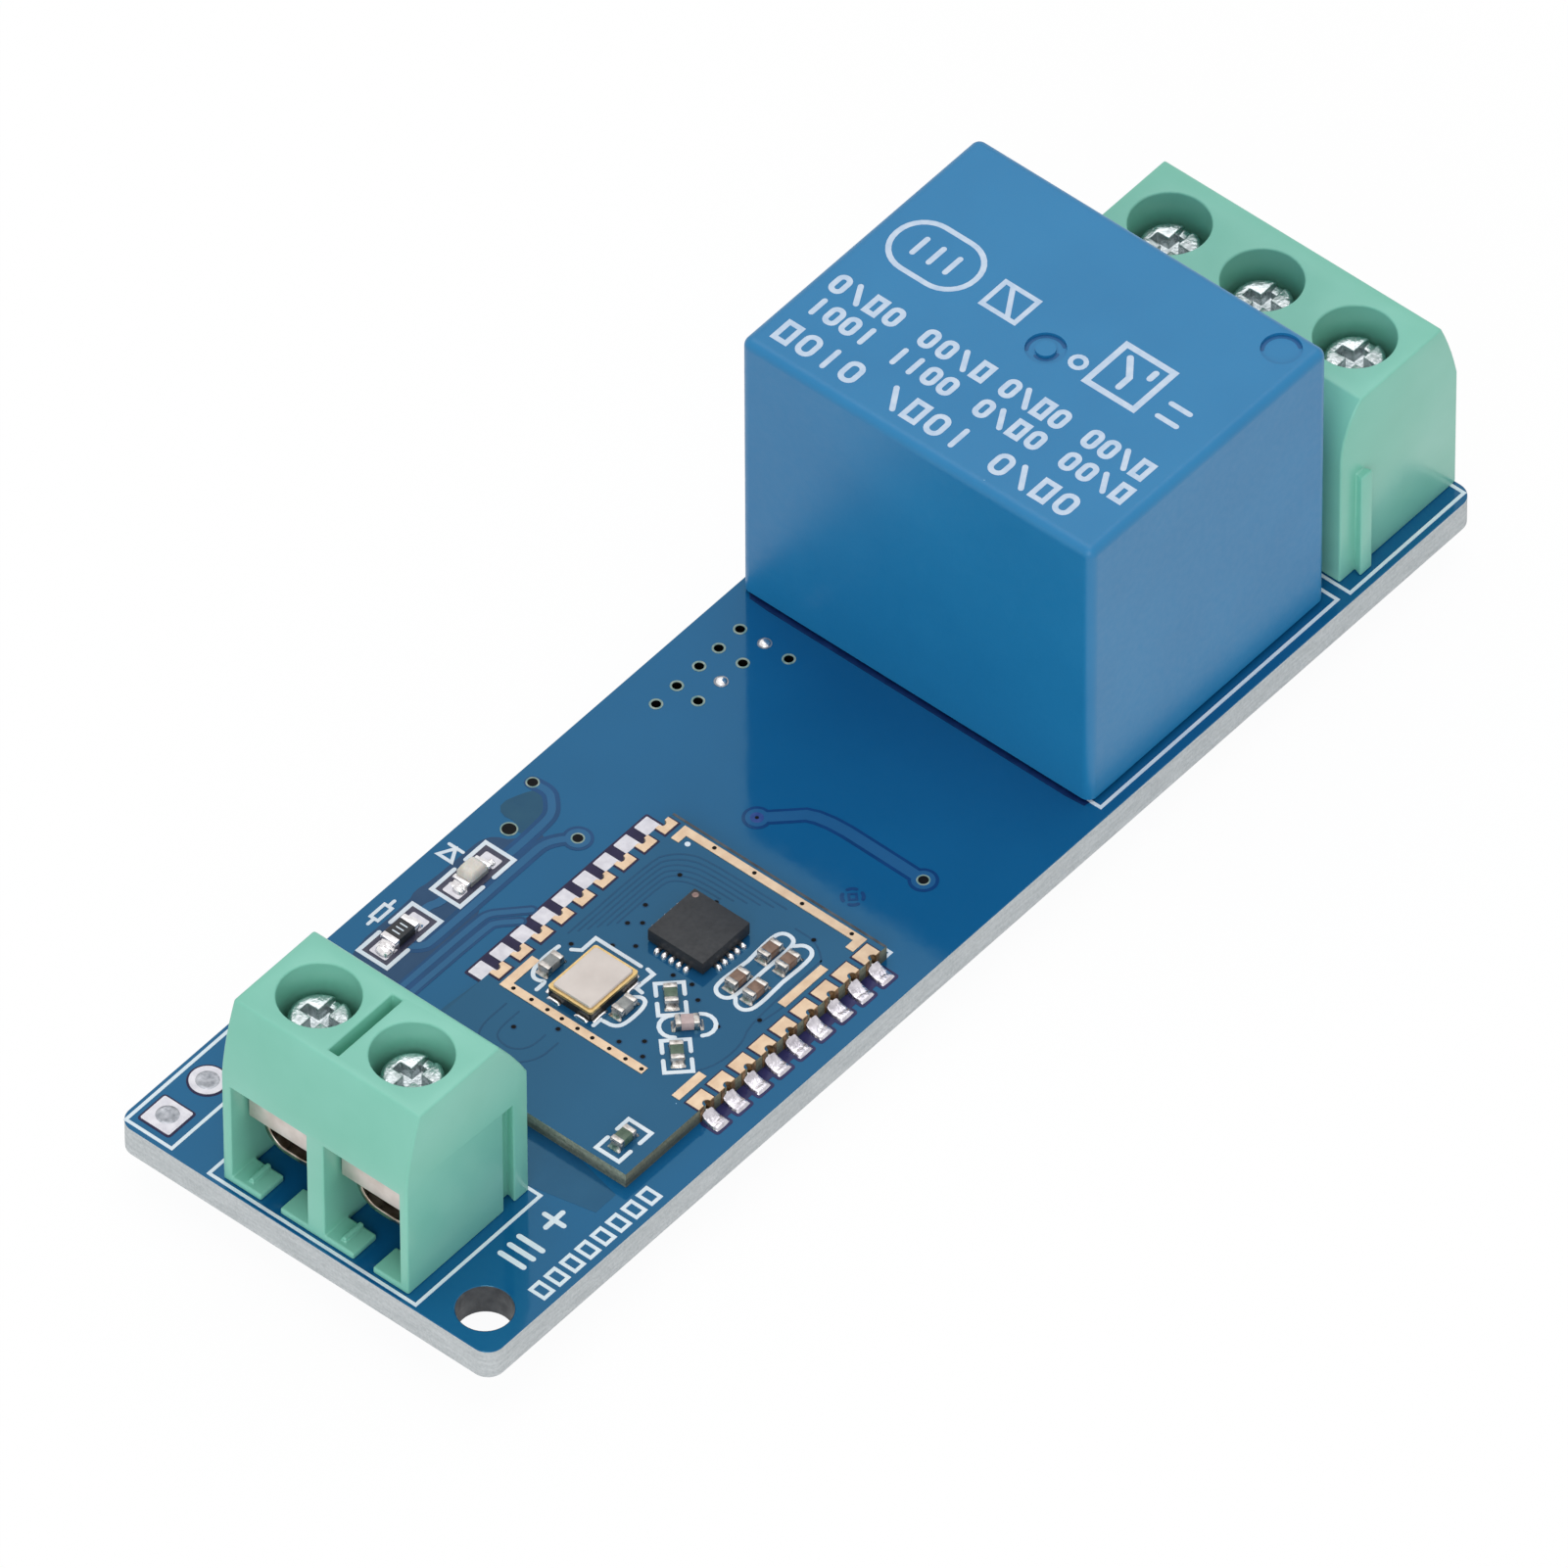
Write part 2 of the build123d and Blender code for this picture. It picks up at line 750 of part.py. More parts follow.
def radio_solder_joints():
    """A wedge of solder from each pad on the main board up into its half-hole."""
    joints = []
    notch = castellation_notch_diameter - 2 * solder_clearance
    for x, y, out in castellation_places():
        half = joint_width / 2
        gap = out * solder_clearance
        start = y + gap
        end = y + out * joint_reach
        points = [(start, 0), (end, 0), (end, pad_thickness), (start, joint_height)]
        wedge = along_x(make_face(Polyline(*points, close=True)), x - half, x + half)
        fill = half_hole(x, y, 0, joint_height, notch)
        fill = fill & block(x - half, x + half, y - out * half, start, 0, joint_height)
        joints.append(wedge + fill)
    return joints


def radio_chip():
    half = chip_size / 2
    low = radio_thickness + chip_lead_height / 2
    return block(chip_x - half, chip_x + half, chip_y - half, chip_y + half, low,
                 radio_thickness + chip_height)


def radio_chip_leads():
    """Flat lead ends showing along all four sides of the chip."""
    leads = []
    for side in range(4):
        for index in range(chip_leads):
            along = chip_lead_pitch * (index - (chip_leads - 1) / 2)
            out = chip_size / 2
            half = chip_lead_width / 2
            lead = block(along - half, along + half, out + lead_gap, out + chip_lead_out,
                         radio_thickness, radio_thickness + chip_lead_height)
            leads.append(Pos(chip_x, chip_y, 0) * Rot(0, 0, 90 * side) * lead)
    return leads


def crystal_base():
    x = crystal_length / 2
    y = crystal_width / 2
    can = block(-x, x, -y, y, radio_thickness, radio_thickness + crystal_height)
    can = fillet(can.edges().filter_by(Axis.Z), crystal_lid_inset)
    return Pos(crystal_x, crystal_y, 0) * can


def crystal_lid():
    x = crystal_length / 2 - crystal_lid_inset
    y = crystal_width / 2 - crystal_lid_inset
    low = radio_thickness + crystal_height
    lid = block(-x, x, -y, y, low, low + crystal_lid_thickness)
    lid = fillet(lid.edges().filter_by(Axis.Z), crystal_lid_inset)
    return Pos(crystal_x, crystal_y, 0) * lid


def chip_body(length, width, height, cap, floor=0.0):
    """The ceramic middle of a two-ended chip part, along X, centred."""
    reach = length / 2 - cap
    side = width / 2 - body_inset
    return block(-reach, reach, -side, side, floor + body_inset, floor + height - body_inset)


def chip_caps(length, width, height, cap, floor=0.0):
    """The two tinned ends of such a part."""
    outer = length / 2
    return [block(side * (outer - cap), side * outer, -width / 2, width / 2, floor, floor + height)
            for side in (-1, 1)]


small_chip = (small_chip_length, small_chip_width, small_chip_height, small_chip_cap, radio_thickness)
decoupling_places = [
    Pos(decoupling_x + column * decoupling_step_x, decoupling_y + row * decoupling_step_y, 0)
    for column in range(2) for row in range(2)
]
load_places = [
    Pos(load_cap_x, load_cap_y, 0),
    Pos(load_cap_x + load_cap_offset, load_cap_y - load_cap_step, 0),
]
matching_places = [
    Pos(match_x, match_y, 0) * Rot(0, 0, match_angle),
    Pos(match_x - match_step, match_y - match_step, 0) * Rot(0, 0, match_angle),
    Pos(aerial_x, aerial_y, 0),
]
coil_place = Pos(coil_x, coil_y, 0) * Rot(0, 0, -match_angle)


def radio_chip_ends():
    """The tinned ends of every small part on the radio board."""
    places = decoupling_places + load_places + matching_places + [coil_place]
    return [place * cap for place in places for cap in chip_caps(*small_chip)]


# Indicator, its resistor and the parts under the board

indicator_place = on_board(indicator_from_end, indicator_from_edge)
resistor_place = on_board(resistor_from_end, resistor_from_edge)


def indicator_base():
    reach = indicator_length / 2 - indicator_cap
    return block(-reach, reach, -indicator_width / 2, indicator_width / 2, 0, indicator_base_height)


def indicator_lens():
    reach = indicator_length / 2 - indicator_cap
    top = indicator_base_height + indicator_lens_height
    lens = block(-reach, reach, -indicator_width / 2, indicator_width / 2, indicator_base_height, top)
    return chamfer(lens.faces().sort_by(Axis.Z)[-1].edges().filter_by(Axis.Y), indicator_lens_height / 3)


def under(from_relay, from_edge):
    """A place on the board's underside, facing down, measured from the relay's pins and the near edge."""
    return Pos(relay_x - side_pin_offset - from_relay, near_edge + from_edge, pin_tail) * Rot(180, 0, 0)


def three_leg_legs(length, width):
    """Three flat legs: two on one long side and one on the other."""
    spread = length / 2 - leg_width
    half = leg_width / 2
    out = width / 2
    spots = [(-spread, -1), (spread, -1), (0.0, 1)]
    return [block(x - half, x + half, side * (out + lead_gap), side * (out + leg_out), 0, leg_thickness)
            for x, side in spots]


def package(length, width, height):
    """A moulded body with its upper edges bevelled."""
    body = block(-length / 2, length / 2, -width / 2, width / 2, leg_thickness / 4, height)
    return chamfer(body.faces().sort_by(Axis.Z)[-1].edges(), height / 8)


def under_row(count, from_relay, from_edge):
    return [under(from_relay, from_edge + under_step * index) for index in range(count)]


def in_radio(shapes):
    return [radio_place * shape for shape in (shapes if isinstance(shapes, list) else [shapes])]


def in_relay(shapes):
    place = Pos(relay_x, relay_y, board_top)
    return [place * shape for shape in (shapes if isinstance(shapes, list) else [shapes])]


def build_terminals():
    """Both blocks with the clamps in their poles, numbered along the board and then along Y."""
    input_front = Pos(input_end + input_from_end, 0, board_top)
    output_front = Pos(output_end - output_from_end, 0, board_top) * Rot(0, 0, 180)
    input_middle = near_edge + input_from_edge + input_poles * pole_pitch / 2
    output_middle = near_edge + output_from_edge + output_poles * pole_pitch / 2
    input_lean = (input_front_run, input_front_drop, input_front_bulge)
    input_back = (input_rear_run, input_rear_drop, input_rear_bulge)
    output_lean = (output_front_run, output_front_drop, output_front_bulge)
    output_back = (output_rear_run, output_rear_drop, output_rear_bulge)
    housing = terminal_housing(input_poles, input_depth, input_setback, input_lean, input_back, True)
    save("input_terminal_housing", Pos(0, input_middle, 0) * input_front * housing)
    housing = terminal_housing(output_poles, output_depth, output_setback, output_lean, output_back, False)
    save("output_terminal_housing", Pos(0, output_middle, 0) * output_front * housing)
    poles = [(y, input_front, input_setback) for x, y in input_pins]
    poles += [(y, output_front, output_setback) for x, y in output_pins]
    for number, (y, front, setback) in enumerate(poles, start=1):
        place = Pos(0, y, 0) * front
        save(f"clamp_frame_{number}", place * clamp_frame(setback))
        save(f"clamp_plate_{number}", place * clamp_plate(setback))
        save(f"clamp_screw_{number}", place * clamp_screw(setback))


def build_relay():
    save("relay_cover", in_relay(relay_cover()))
    save("relay_base", in_relay(relay_base()))
    save("relay_yoke", in_relay(relay_yoke()))
    save("relay_core", in_relay(relay_core()))
    save("relay_bobbin", in_relay(relay_bobbin()))
    save("relay_coil", in_relay(relay_coil()))
    save("relay_coil_pins", in_relay(relay_coil_pins()))
    save("relay_common_pin", in_relay(relay_common_pin()))
    save("relay_open_contact", in_relay(relay_open_contact()))
    save("relay_closed_contact", in_relay(relay_closed_contact()))
    save("relay_armature", in_relay(relay_armature()))
    save("relay_contact_spring", in_relay(relay_contact_spring()))
    save("relay_moving_contact", in_relay(relay_moving_contact()))


def build_radio():
    save("radio_board", in_radio(radio_board()))
    save("radio_pads", in_radio(radio_pads()))
    save("radio_ground_strips", in_radio(radio_ground_strips()))
    save("radio_solder_joints", in_radio(radio_solder_joints()))
    save("radio_chip", in_radio(radio_chip()))
    save("radio_chip_leads", in_radio(radio_chip_leads()))
    save("crystal_base", in_radio(crystal_base()))
    save("crystal_lid", in_radio(crystal_lid()))
    save("decoupling_capacitors", in_radio([place * chip_body(*small_chip) for place in decoupling_places]))
    save("crystal_capacitors", in_radio([place * chip_body(*small_chip) for place in load_places]))
    save("matching_chips", in_radio([place * chip_body(*small_chip) for place in matching_places]))
    save("matching_coil", in_radio(coil_place * chip_body(*small_chip)))
    save("radio_chip_ends", in_radio(radio_chip_ends()))


def build_board():
    save("main_board", main_board())
    save("header_pads", header_pads())
    clamp_pins = input_pins + output_pins
    clamp_joints = [solder_joint(x, y, frame_pin_width, frame_pin_thickness) for x, y in clamp_pins]
    save("terminal_solder_joints", clamp_joints)
    relay_joints = [solder_joint(x, y, relay_pin_width, relay_pin_thickness) for x, y in relay_pins]
    save("relay_solder_joints", relay_joints)
    save("indicator_base", indicator_place * indicator_base())
    save("indicator_lens", indicator_place * indicator_lens())
    indicator_size = (indicator_length, indicator_width, indicator_cap_height, indicator_cap)
    save("indicator_ends", [indicator_place * cap for cap in chip_caps(*indicator_size)])
    resistor_size = (resistor_length, resistor_width, resistor_height, resistor_cap)
    save("resistor_body", resistor_place * chip_body(*resistor_size))
    save("resistor_ends", [resistor_place * cap for cap in chip_caps(*resistor_size)])


def build_underside():
    regulator_place = under(regulator_from_relay, regulator_from_edge)
    transistor_place = under(transistor_from_relay, transistor_from_edge)
    diode_place = under(diode_from_relay, diode_from_edge)
    save("regulator_body", regulator_place * package(regulator_length, regulator_width, regulator_height))
    save("transistor_body",
         transistor_place * package(transistor_length, transistor_width, transistor_height))
    legs = [regulator_place * leg for leg in three_leg_legs(regulator_length, regulator_width)]
    legs += [transistor_place * leg for leg in three_leg_legs(transistor_length, transistor_width)]
    save("package_legs", legs)
    save("diode_body", diode_place * chip_body(diode_length, diode_width, diode_height, diode_cap))
    chip_size_under = (resistor_length, resistor_width, resistor_height, resistor_cap)
    resistor_places = under_row(under_resistors, resistors_from_relay, resistors_from_edge)
    capacitor_places = under_row(under_capacitors, capacitors_from_relay, capacitors_from_edge)
    save("under_resistors", [place * chip_body(*chip_size_under) for place in resistor_places])
    save("under_capacitors", [place * chip_body(*chip_size_under) for place in capacitor_places])
    places = resistor_places + capacitor_places
    ends = [place * cap for place in places for cap in chip_caps(*chip_size_under)]
    ends += [diode_place * cap for cap in chip_caps(diode_length, diode_width, diode_height / 2, diode_cap)]
    save("under_chip_ends", ends)


os.makedirs("parts", exist_ok=True)
build_board()
build_radio()
build_terminals()
build_relay()
build_underside()
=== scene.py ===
"""Dresses the relay module board: finishes, printed marks, copper, solder and fine shapes.

Drawing is in board millimetres: x from the input end, y from the near edge, z from the board's top face.
"""
import math
import random

import bmesh
import bpy
from mathutils import Matrix, Vector

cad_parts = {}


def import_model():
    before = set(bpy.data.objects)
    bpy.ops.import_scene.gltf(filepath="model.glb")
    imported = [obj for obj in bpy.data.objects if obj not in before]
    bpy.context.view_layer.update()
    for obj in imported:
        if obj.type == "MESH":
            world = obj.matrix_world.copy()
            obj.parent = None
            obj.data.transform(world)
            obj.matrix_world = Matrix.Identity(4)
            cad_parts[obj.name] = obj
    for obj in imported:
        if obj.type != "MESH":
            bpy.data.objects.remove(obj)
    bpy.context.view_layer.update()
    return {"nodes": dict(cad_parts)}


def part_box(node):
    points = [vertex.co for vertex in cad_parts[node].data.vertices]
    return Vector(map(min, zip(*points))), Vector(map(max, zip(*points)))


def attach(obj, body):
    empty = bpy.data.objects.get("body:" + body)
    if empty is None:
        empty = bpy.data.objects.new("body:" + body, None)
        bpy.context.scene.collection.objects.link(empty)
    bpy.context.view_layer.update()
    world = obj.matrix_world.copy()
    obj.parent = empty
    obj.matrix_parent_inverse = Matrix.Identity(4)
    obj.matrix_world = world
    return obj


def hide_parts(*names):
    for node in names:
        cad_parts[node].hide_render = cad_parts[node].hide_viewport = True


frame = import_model()

MM = 0.001
board_low, board_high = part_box("main_board")
BOARD = Matrix.Translation((board_low.x, board_low.y, board_high.z)) @ Matrix.Scale(MM, 4)
TO_BOARD = BOARD.inverted()
UNDERSIDE = -1.6


def node_box(name):
    """A CAD node's lowest and highest corners in board millimetres."""
    low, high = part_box(name)
    return TO_BOARD @ low, TO_BOARD @ high


# Finishes

def srgb(red, green, blue):
    def linear(value):
        part = value / 255
        return part / 12.92 if part <= 0.04045 else ((part + 0.055) / 1.055) ** 2.4
    return (linear(red), linear(green), linear(blue), 1.0)


def feed(tree, node, inputs):
    """Links or sets a shader node's inputs."""
    for name, value in inputs.items():
        if isinstance(value, bpy.types.NodeSocket):
            tree.links.new(value, node.inputs[name])
        else:
            node.inputs[name].default_value = value
    return node


def add(tree, kind, inputs, **settings):
    """A new shader node with its settings and inputs."""
    made = tree.nodes.new(kind)
    for name, value in settings.items():
        setattr(made, name, value)
    return feed(tree, made, inputs)


def mix(tree, factor, first, second):
    return add(tree, "ShaderNodeMix", {0: factor, 6: first, 7: second}, data_type="RGBA").outputs[2]


def maths(tree, operation, first, second=0.0):
    return add(tree, "ShaderNodeMath", {0: first, 1: second}, operation=operation).outputs[0]


def place(tree):
    return add(tree, "ShaderNodeTexCoord", {}).outputs["Object"]


def parts_of(tree, vector):
    """The x, y and z of a vector."""
    return add(tree, "ShaderNodeSeparateXYZ", {0: vector}).outputs


def relief_from(tree, height, depth):
    return add(tree, "ShaderNodeBump", {"Height": height, "Distance": depth * MM}).outputs[0]


def noise(tree, size, detail=3.0, vector=None):
    """Cloudy values with features about size millimetres across."""
    inputs = {"Vector": vector or place(tree), "Scale": 1 / (size * MM), "Detail": detail}
    return add(tree, "ShaderNodeTexNoise", inputs).outputs[0]


def between(tree, value, low, high, start=0.3, end=0.7):
    inputs = {"Value": value, "From Min": start, "From Max": end, "To Min": low, "To Max": high}
    return add(tree, "ShaderNodeMapRange", inputs).outputs[0]


def specks(tree, spacing, radius, share):
    """1 inside small scattered dots, 0 elsewhere."""
    cells = add(tree, "ShaderNodeTexVoronoi", {"Vector": place(tree), "Scale": 1 / (spacing * MM)})
    dot = maths(tree, "LESS_THAN", cells.outputs["Distance"], radius / spacing)
    parts = add(tree, "ShaderNodeSeparateColor", {0: cells.outputs["Color"]})
    return maths(tree, "MULTIPLY", dot, maths(tree, "LESS_THAN", parts.outputs[0], share))


def new_material(name, fixed):
    material = bpy.data.materials.new(name)
    material.use_nodes = True
    tree = material.node_tree
    return material, tree, feed(tree, tree.nodes["Principled BSDF"], fixed)


def finish(fixed, name, dark, light, rough, patch=3.0, grain=0.15, relief=0.002, dust=None):
    """Two tones that wander, a roughness that wanders, fine relief, and perhaps pale dust."""
    material, tree, shader = new_material(name, fixed)
    colour = mix(tree, between(tree, noise(tree, patch), 0.0, 1.0), srgb(*dark), srgb(*light))
    if dust:
        spacing, radius, share, tone = dust
        colour = mix(tree, specks(tree, spacing, radius, share), colour, srgb(*tone))
    rough = between(tree, noise(tree, grain * 4), *rough)
    bump = relief_from(tree, noise(tree, grain), relief)
    feed(tree, shader, {"Base Color": colour, "Roughness": rough, "Normal": bump})
    return material


FILM = {"IOR": 1.6, "Specular Tint": (0.42, 0.92, 1.0, 1.0)}


def laminate(name, mask, edge, shaded_near_edge, dust, painted_foot_shade=1.0):
    """Glossy solder mask on the faces and sawn glass fibre on the edges, with painted shade: the near edges
    can take darker colours of their own, and the edges can darken towards their foot.
    """
    material, tree, shader = new_material(name, FILM)
    face = mix(tree, between(tree, noise(tree, 9.0), 0.0, 1.0), srgb(*mask[0]), srgb(*mask[1]))
    spacing, radius, share, tone = dust
    face = mix(tree, specks(tree, spacing, radius, share), face, srgb(*tone))
    flattened = {"Vector": place(tree), "Scale": (0.35, 0.35, 3.0)}
    layers = noise(tree, 0.5, 4.0, add(tree, "ShaderNodeMapping", flattened).outputs[0])
    fibre = noise(tree, 0.12, 5.0)
    mixed = maths(tree, "MULTIPLY", maths(tree, "ADD", layers, fibre), 0.5)
    streak = between(tree, mixed, 0.0, 1.0, 0.36, 0.64)
    normal = parts_of(tree, add(tree, "ShaderNodeTexCoord", {}).outputs["Normal"])
    sides = maths(tree, "LESS_THAN", maths(tree, "ABSOLUTE", normal[2]), 0.5)
    # Painted shade: sides facing the near side take their own, darker sawn colours.
    near = maths(tree, "LESS_THAN", normal[1], -0.5)
    sawn = mix(tree, streak, srgb(*edge[0]), srgb(*edge[1]))
    sawn = mix(tree, near, sawn, mix(tree, streak, srgb(*shaded_near_edge[0]), srgb(*shaded_near_edge[1])))
    # Painted shade: the sawn edges darken towards a near-black colour at their foot.
    height = parts_of(tree, place(tree))[2]
    level = between(tree, height, painted_foot_shade, 1.0, board_high.z + 0.2 * MM, board_high.z + 0.75 * MM)
    sawn = mix(tree, level, srgb(20, 26, 34), sawn)
    inputs = {0: sides, 2: between(tree, noise(tree, 0.8), 0.06, 0.1), 3: 0.6}
    rough = add(tree, "ShaderNodeMix", inputs, data_type="FLOAT").outputs[0]
    flat = maths(tree, "MULTIPLY", noise(tree, 1.5, 2.0), 0.2)
    height = add(tree, "ShaderNodeMix", {0: sides, 2: flat, 3: fibre}, data_type="FLOAT").outputs[0]
    bump = relief_from(tree, height, 0.02)
    feed(tree, shader, {"Base Color": mix(tree, sides, face, sawn), "Roughness": rough, "Normal": bump})
    return material


DUST = (1.7, 0.035, 0.14, (150, 190, 225))
EDGE = ((188, 191, 193), (215, 217, 219))
RADIO_EDGE = ((136, 138, 118), (196, 198, 176))
# Painted shade: the radio board's near edge as a darker copy of its sawn edge.
RADIO_SHADED_NEAR_EDGE = ((100, 98, 78), (150, 148, 122))
RADIO_MASK = ((22, 80, 124), (28, 88, 132))
LOOKS = {
    "mask": laminate("board_laminate", ((13, 88, 139), (18, 95, 147)), EDGE, EDGE, DUST),
    "radio_mask": laminate("radio_laminate", RADIO_MASK, RADIO_EDGE, RADIO_SHADED_NEAR_EDGE, DUST, painted_foot_shade=0.35),
}


def finishes(fixed, rows):
    """Adds looks with the same fixed shader values."""
    LOOKS.update({look: finish(fixed, look, *row) for look, row in rows.items()})


finishes(FILM, {
    "pour": ((34, 90, 140), (42, 97, 148), (0.07, 0.11), 5.0),
    "gap": ((14, 55, 110), (20, 64, 124), (0.08, 0.12), 1.5),
    "bare": ((22, 66, 104), (32, 74, 106), (0.08, 0.12), 1.2),
    "shade": ((32, 54, 102), (40, 62, 108), (0.08, 0.12), 1.0),
    "teal": ((20, 76, 120), (28, 83, 126), (0.08, 0.12), 1.6),
    "tented": ((46, 66, 134), (60, 80, 148), (0.1, 0.14), 0.3),
    "radio_line": ((14, 62, 108), (20, 70, 116), (0.08, 0.12), 1.0),
    # Painted shadow for the strip along the relay cover's foot.
    "deep": ((4, 26, 78), (8, 36, 94), (0.4, 0.5), 0.6),
})
finishes({"IOR": 1.35}, {
    "navy": ((44, 46, 90), (56, 56, 104), (0.1, 0.16), 0.6),
    "plum": ((32, 28, 66), (44, 38, 78), (0.12, 0.2), 0.6),
})
finishes({"Metallic": 1.0}, {
    "zinc": ((170, 178, 180), (216, 222, 224), (0.22, 0.36), 0.3, 0.14, 0.03),
    "steel": ((128, 114, 100), (186, 176, 166), (0.16, 0.26), 0.7, 0.1, 0.003),
    "solder": ((178, 174, 182), (222, 218, 224), (0.16, 0.32), 0.3, 0.13, 0.026),
    "bright": ((214, 210, 212), (244, 242, 242), (0.14, 0.26), 0.3, 0.13, 0.012),
    "dull": ((120, 124, 130), (176, 178, 184), (0.3, 0.45), 0.3, 0.12, 0.015),
    "chip_end": ((150, 144, 138), (206, 202, 198), (0.2, 0.36), 0.2, 0.1, 0.01),
    "nickel": ((150, 152, 156), (168, 170, 174), (0.25, 0.38), 3.0, 0.1, 0.003),
    "copper": ((148, 70, 34), (188, 96, 52), (0.25, 0.4), 0.6, 0.08, 0.01),
    "contact": ((200, 184, 154), (214, 200, 172), (0.22, 0.32), 2.5, 0.1),
})
finishes({"Metallic": 0.6}, {
    "tin": ((200, 188, 180), (224, 214, 208), (0.3, 0.42), 0.9, 0.1, 0.003),
    "silver": ((200, 198, 206), (220, 218, 224), (0.3, 0.4), 0.4, 0.08),
    "gold": ((212, 182, 152), (228, 202, 172), (0.35, 0.45), 0.5, 0.07),
    # Painted shade: a darker copy of the gold for the plating down the pads' walls.
    "shaded_wall_gold": ((84, 62, 40), (168, 132, 92), (0.25, 0.4), 0.25, 0.07, 0.006),
    "lid": ((196, 187, 181), (208, 199, 193), (0.42, 0.5), 1.2, 0.08),
})
finishes({}, {
    "ground": ((38, 42, 70), (60, 60, 84), (0.25, 0.4), 0.25, 0.08, 0.012),
    "via_ring": ((96, 144, 144), (170, 182, 168), (0.1, 0.2), 0.2),
    # Painted shade for the steep sides of the relay's moulding marks.
    "relay_shade": ((16, 88, 142), (22, 96, 150), (0.4, 0.5), 1.0),
    # A dark lining: painted shade in the mounting holes; also the thin dark line at the radio board's far
    # end.
    "dark_wall": ((44, 48, 54), (84, 88, 92), (0.4, 0.6), 0.6, 0.12, 0.01),
    "ink": ((226, 240, 252), (240, 248, 254), (0.4, 0.55), 0.5, 0.06, 0.004),
    "relay": ((27, 124, 178), (33, 130, 184), (0.33, 0.42), 6.0, 0.09, 0.0035,
              (1.6, 0.03, 0.07, (120, 180, 215))),
    "relay_ink": ((188, 212, 238), (212, 228, 246), (0.4, 0.5), 0.5, 0.06, 0.004),
    "terminal": ((127, 203, 181), (137, 210, 190), (0.28, 0.34), 4.0, 0.3, 0.0015),
    "black": ((30, 32, 36), (40, 42, 46), (0.5, 0.65), 0.7, 0.05, 0.003),
    "dot": ((120, 96, 92), (160, 132, 124), (0.4, 0.6), 0.2),
    "tan": ((112, 86, 70), (142, 112, 94), (0.3, 0.45), 0.3, 0.05),
    "grey": ((132, 134, 134), (166, 168, 166), (0.3, 0.45), 0.3, 0.05),
    "green": ((62, 86, 68), (90, 114, 92), (0.25, 0.4), 0.3, 0.05),
    "pink": ((184, 160, 160), (208, 186, 184), (0.3, 0.45), 0.3, 0.05),
    "bobbin": ((28, 28, 30), (40, 40, 44), (0.4, 0.55), 1.5, 0.1, 0.003),
})
finishes({"Specular IOR Level": 0.1}, {
    # Painted shade: near-black for the insides of holes.
    "barrel": ((4, 6, 10), (12, 14, 16), (0.4, 0.6), 0.3),
})
finishes({"Subsurface Weight": 0.15, "Subsurface Scale": 0.0003}, {
    "lens": ((226, 218, 206), (244, 238, 230), (0.2, 0.35), 0.4, 0.1, 0.006),
})


def crystal_side():
    """A dark ceramic can with a gilt rim along its upper edge."""
    material, tree, shader = new_material("crystal_can", {})
    low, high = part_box("crystal_base")
    rim = maths(tree, "GREATER_THAN", parts_of(tree, place(tree))[2], high.z - 0.14 * MM)
    dark = mix(tree, noise(tree, 0.3), srgb(26, 24, 24), srgb(46, 42, 38))
    gilt = mix(tree, noise(tree, 0.2), srgb(196, 160, 96), srgb(232, 204, 148))
    rough = between(tree, noise(tree, 0.2), 0.25, 0.4)
    metal = maths(tree, "MULTIPLY", rim, 0.8)
    feed(tree, shader, {"Base Color": mix(tree, rim, dark, gilt), "Metallic": metal, "Roughness": rough})
    return material


LOOKS["crystal_side"] = crystal_side()


# Shapes

def mesh_of(name, bm):
    """The mesh of a drawing, which is used up."""
    mesh = bpy.data.meshes.new(name)
    bm.to_mesh(mesh)
    bm.free()
    return mesh


def put(name, data):
    """A new object in the scene."""
    made = bpy.data.objects.new(name, data)
    bpy.context.scene.collection.objects.link(made)
    return made


def new_piece(name, bm, looks, body="root", hides=(), sharp=35):
    """Turns a drawing in board millimetres into a piece that rides on a body."""
    bmesh.ops.recalc_face_normals(bm, faces=bm.faces)
    bm.transform(BOARD)
    for face in bm.faces:
        face.smooth = True
    mesh = mesh_of(name, bm)
    mesh.set_sharp_from_angle(angle=math.radians(sharp))
    for look in looks if isinstance(looks, list) else [looks]:
        mesh.materials.append(LOOKS[look])
    piece = put(name, mesh)
    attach(piece, body)
    if hides:
        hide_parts(*hides)
    return piece


def join(target, part, matrix=None, material=0):
    """Adds one drawing to another."""
    if matrix:
        part.transform(matrix)
    for face in part.faces:
        face.material_index = material
    mesh = mesh_of("part", part)
    target.from_mesh(mesh)
    bpy.data.meshes.remove(mesh)


def wall(bm, lower, upper):
    """The faces between two rings of points."""
    after = lower[1:] + lower[:1], upper[1:] + upper[:1]
    return [bm.faces.new((a, b, d, c)) for a, b, c, d in zip(lower, after[0], upper, after[1])]


def skin(bm, loops, material=0):
    """A closed solid through rings of points that all have the same count."""
    rings = [[bm.verts.new(point) for point in loop] for loop in loops]
    faces = [face for lower, upper in zip(rings, rings[1:]) for face in wall(bm, lower, upper)]
    faces += [bm.faces.new(rings[0][::-1]), bm.faces.new(rings[-1])]
    for face in faces:
        face.material_index = material


def raised(outline, height):
    return [(x, y, height) for x, y in outline]


def prism(bm, outline, low, high, material=0):
    skin(bm, [raised(outline, low), raised(outline, high)], material)


def circle(x, y, radius, steps=24, start=0.0, sweep=360.0):
    whole = abs(sweep) >= 360
    count = steps if whole else steps + 1
    angles = [math.radians(start + sweep * index / steps) for index in range(count)]
    return [(x + radius * math.cos(angle), y + radius * math.sin(angle)) for angle in angles]


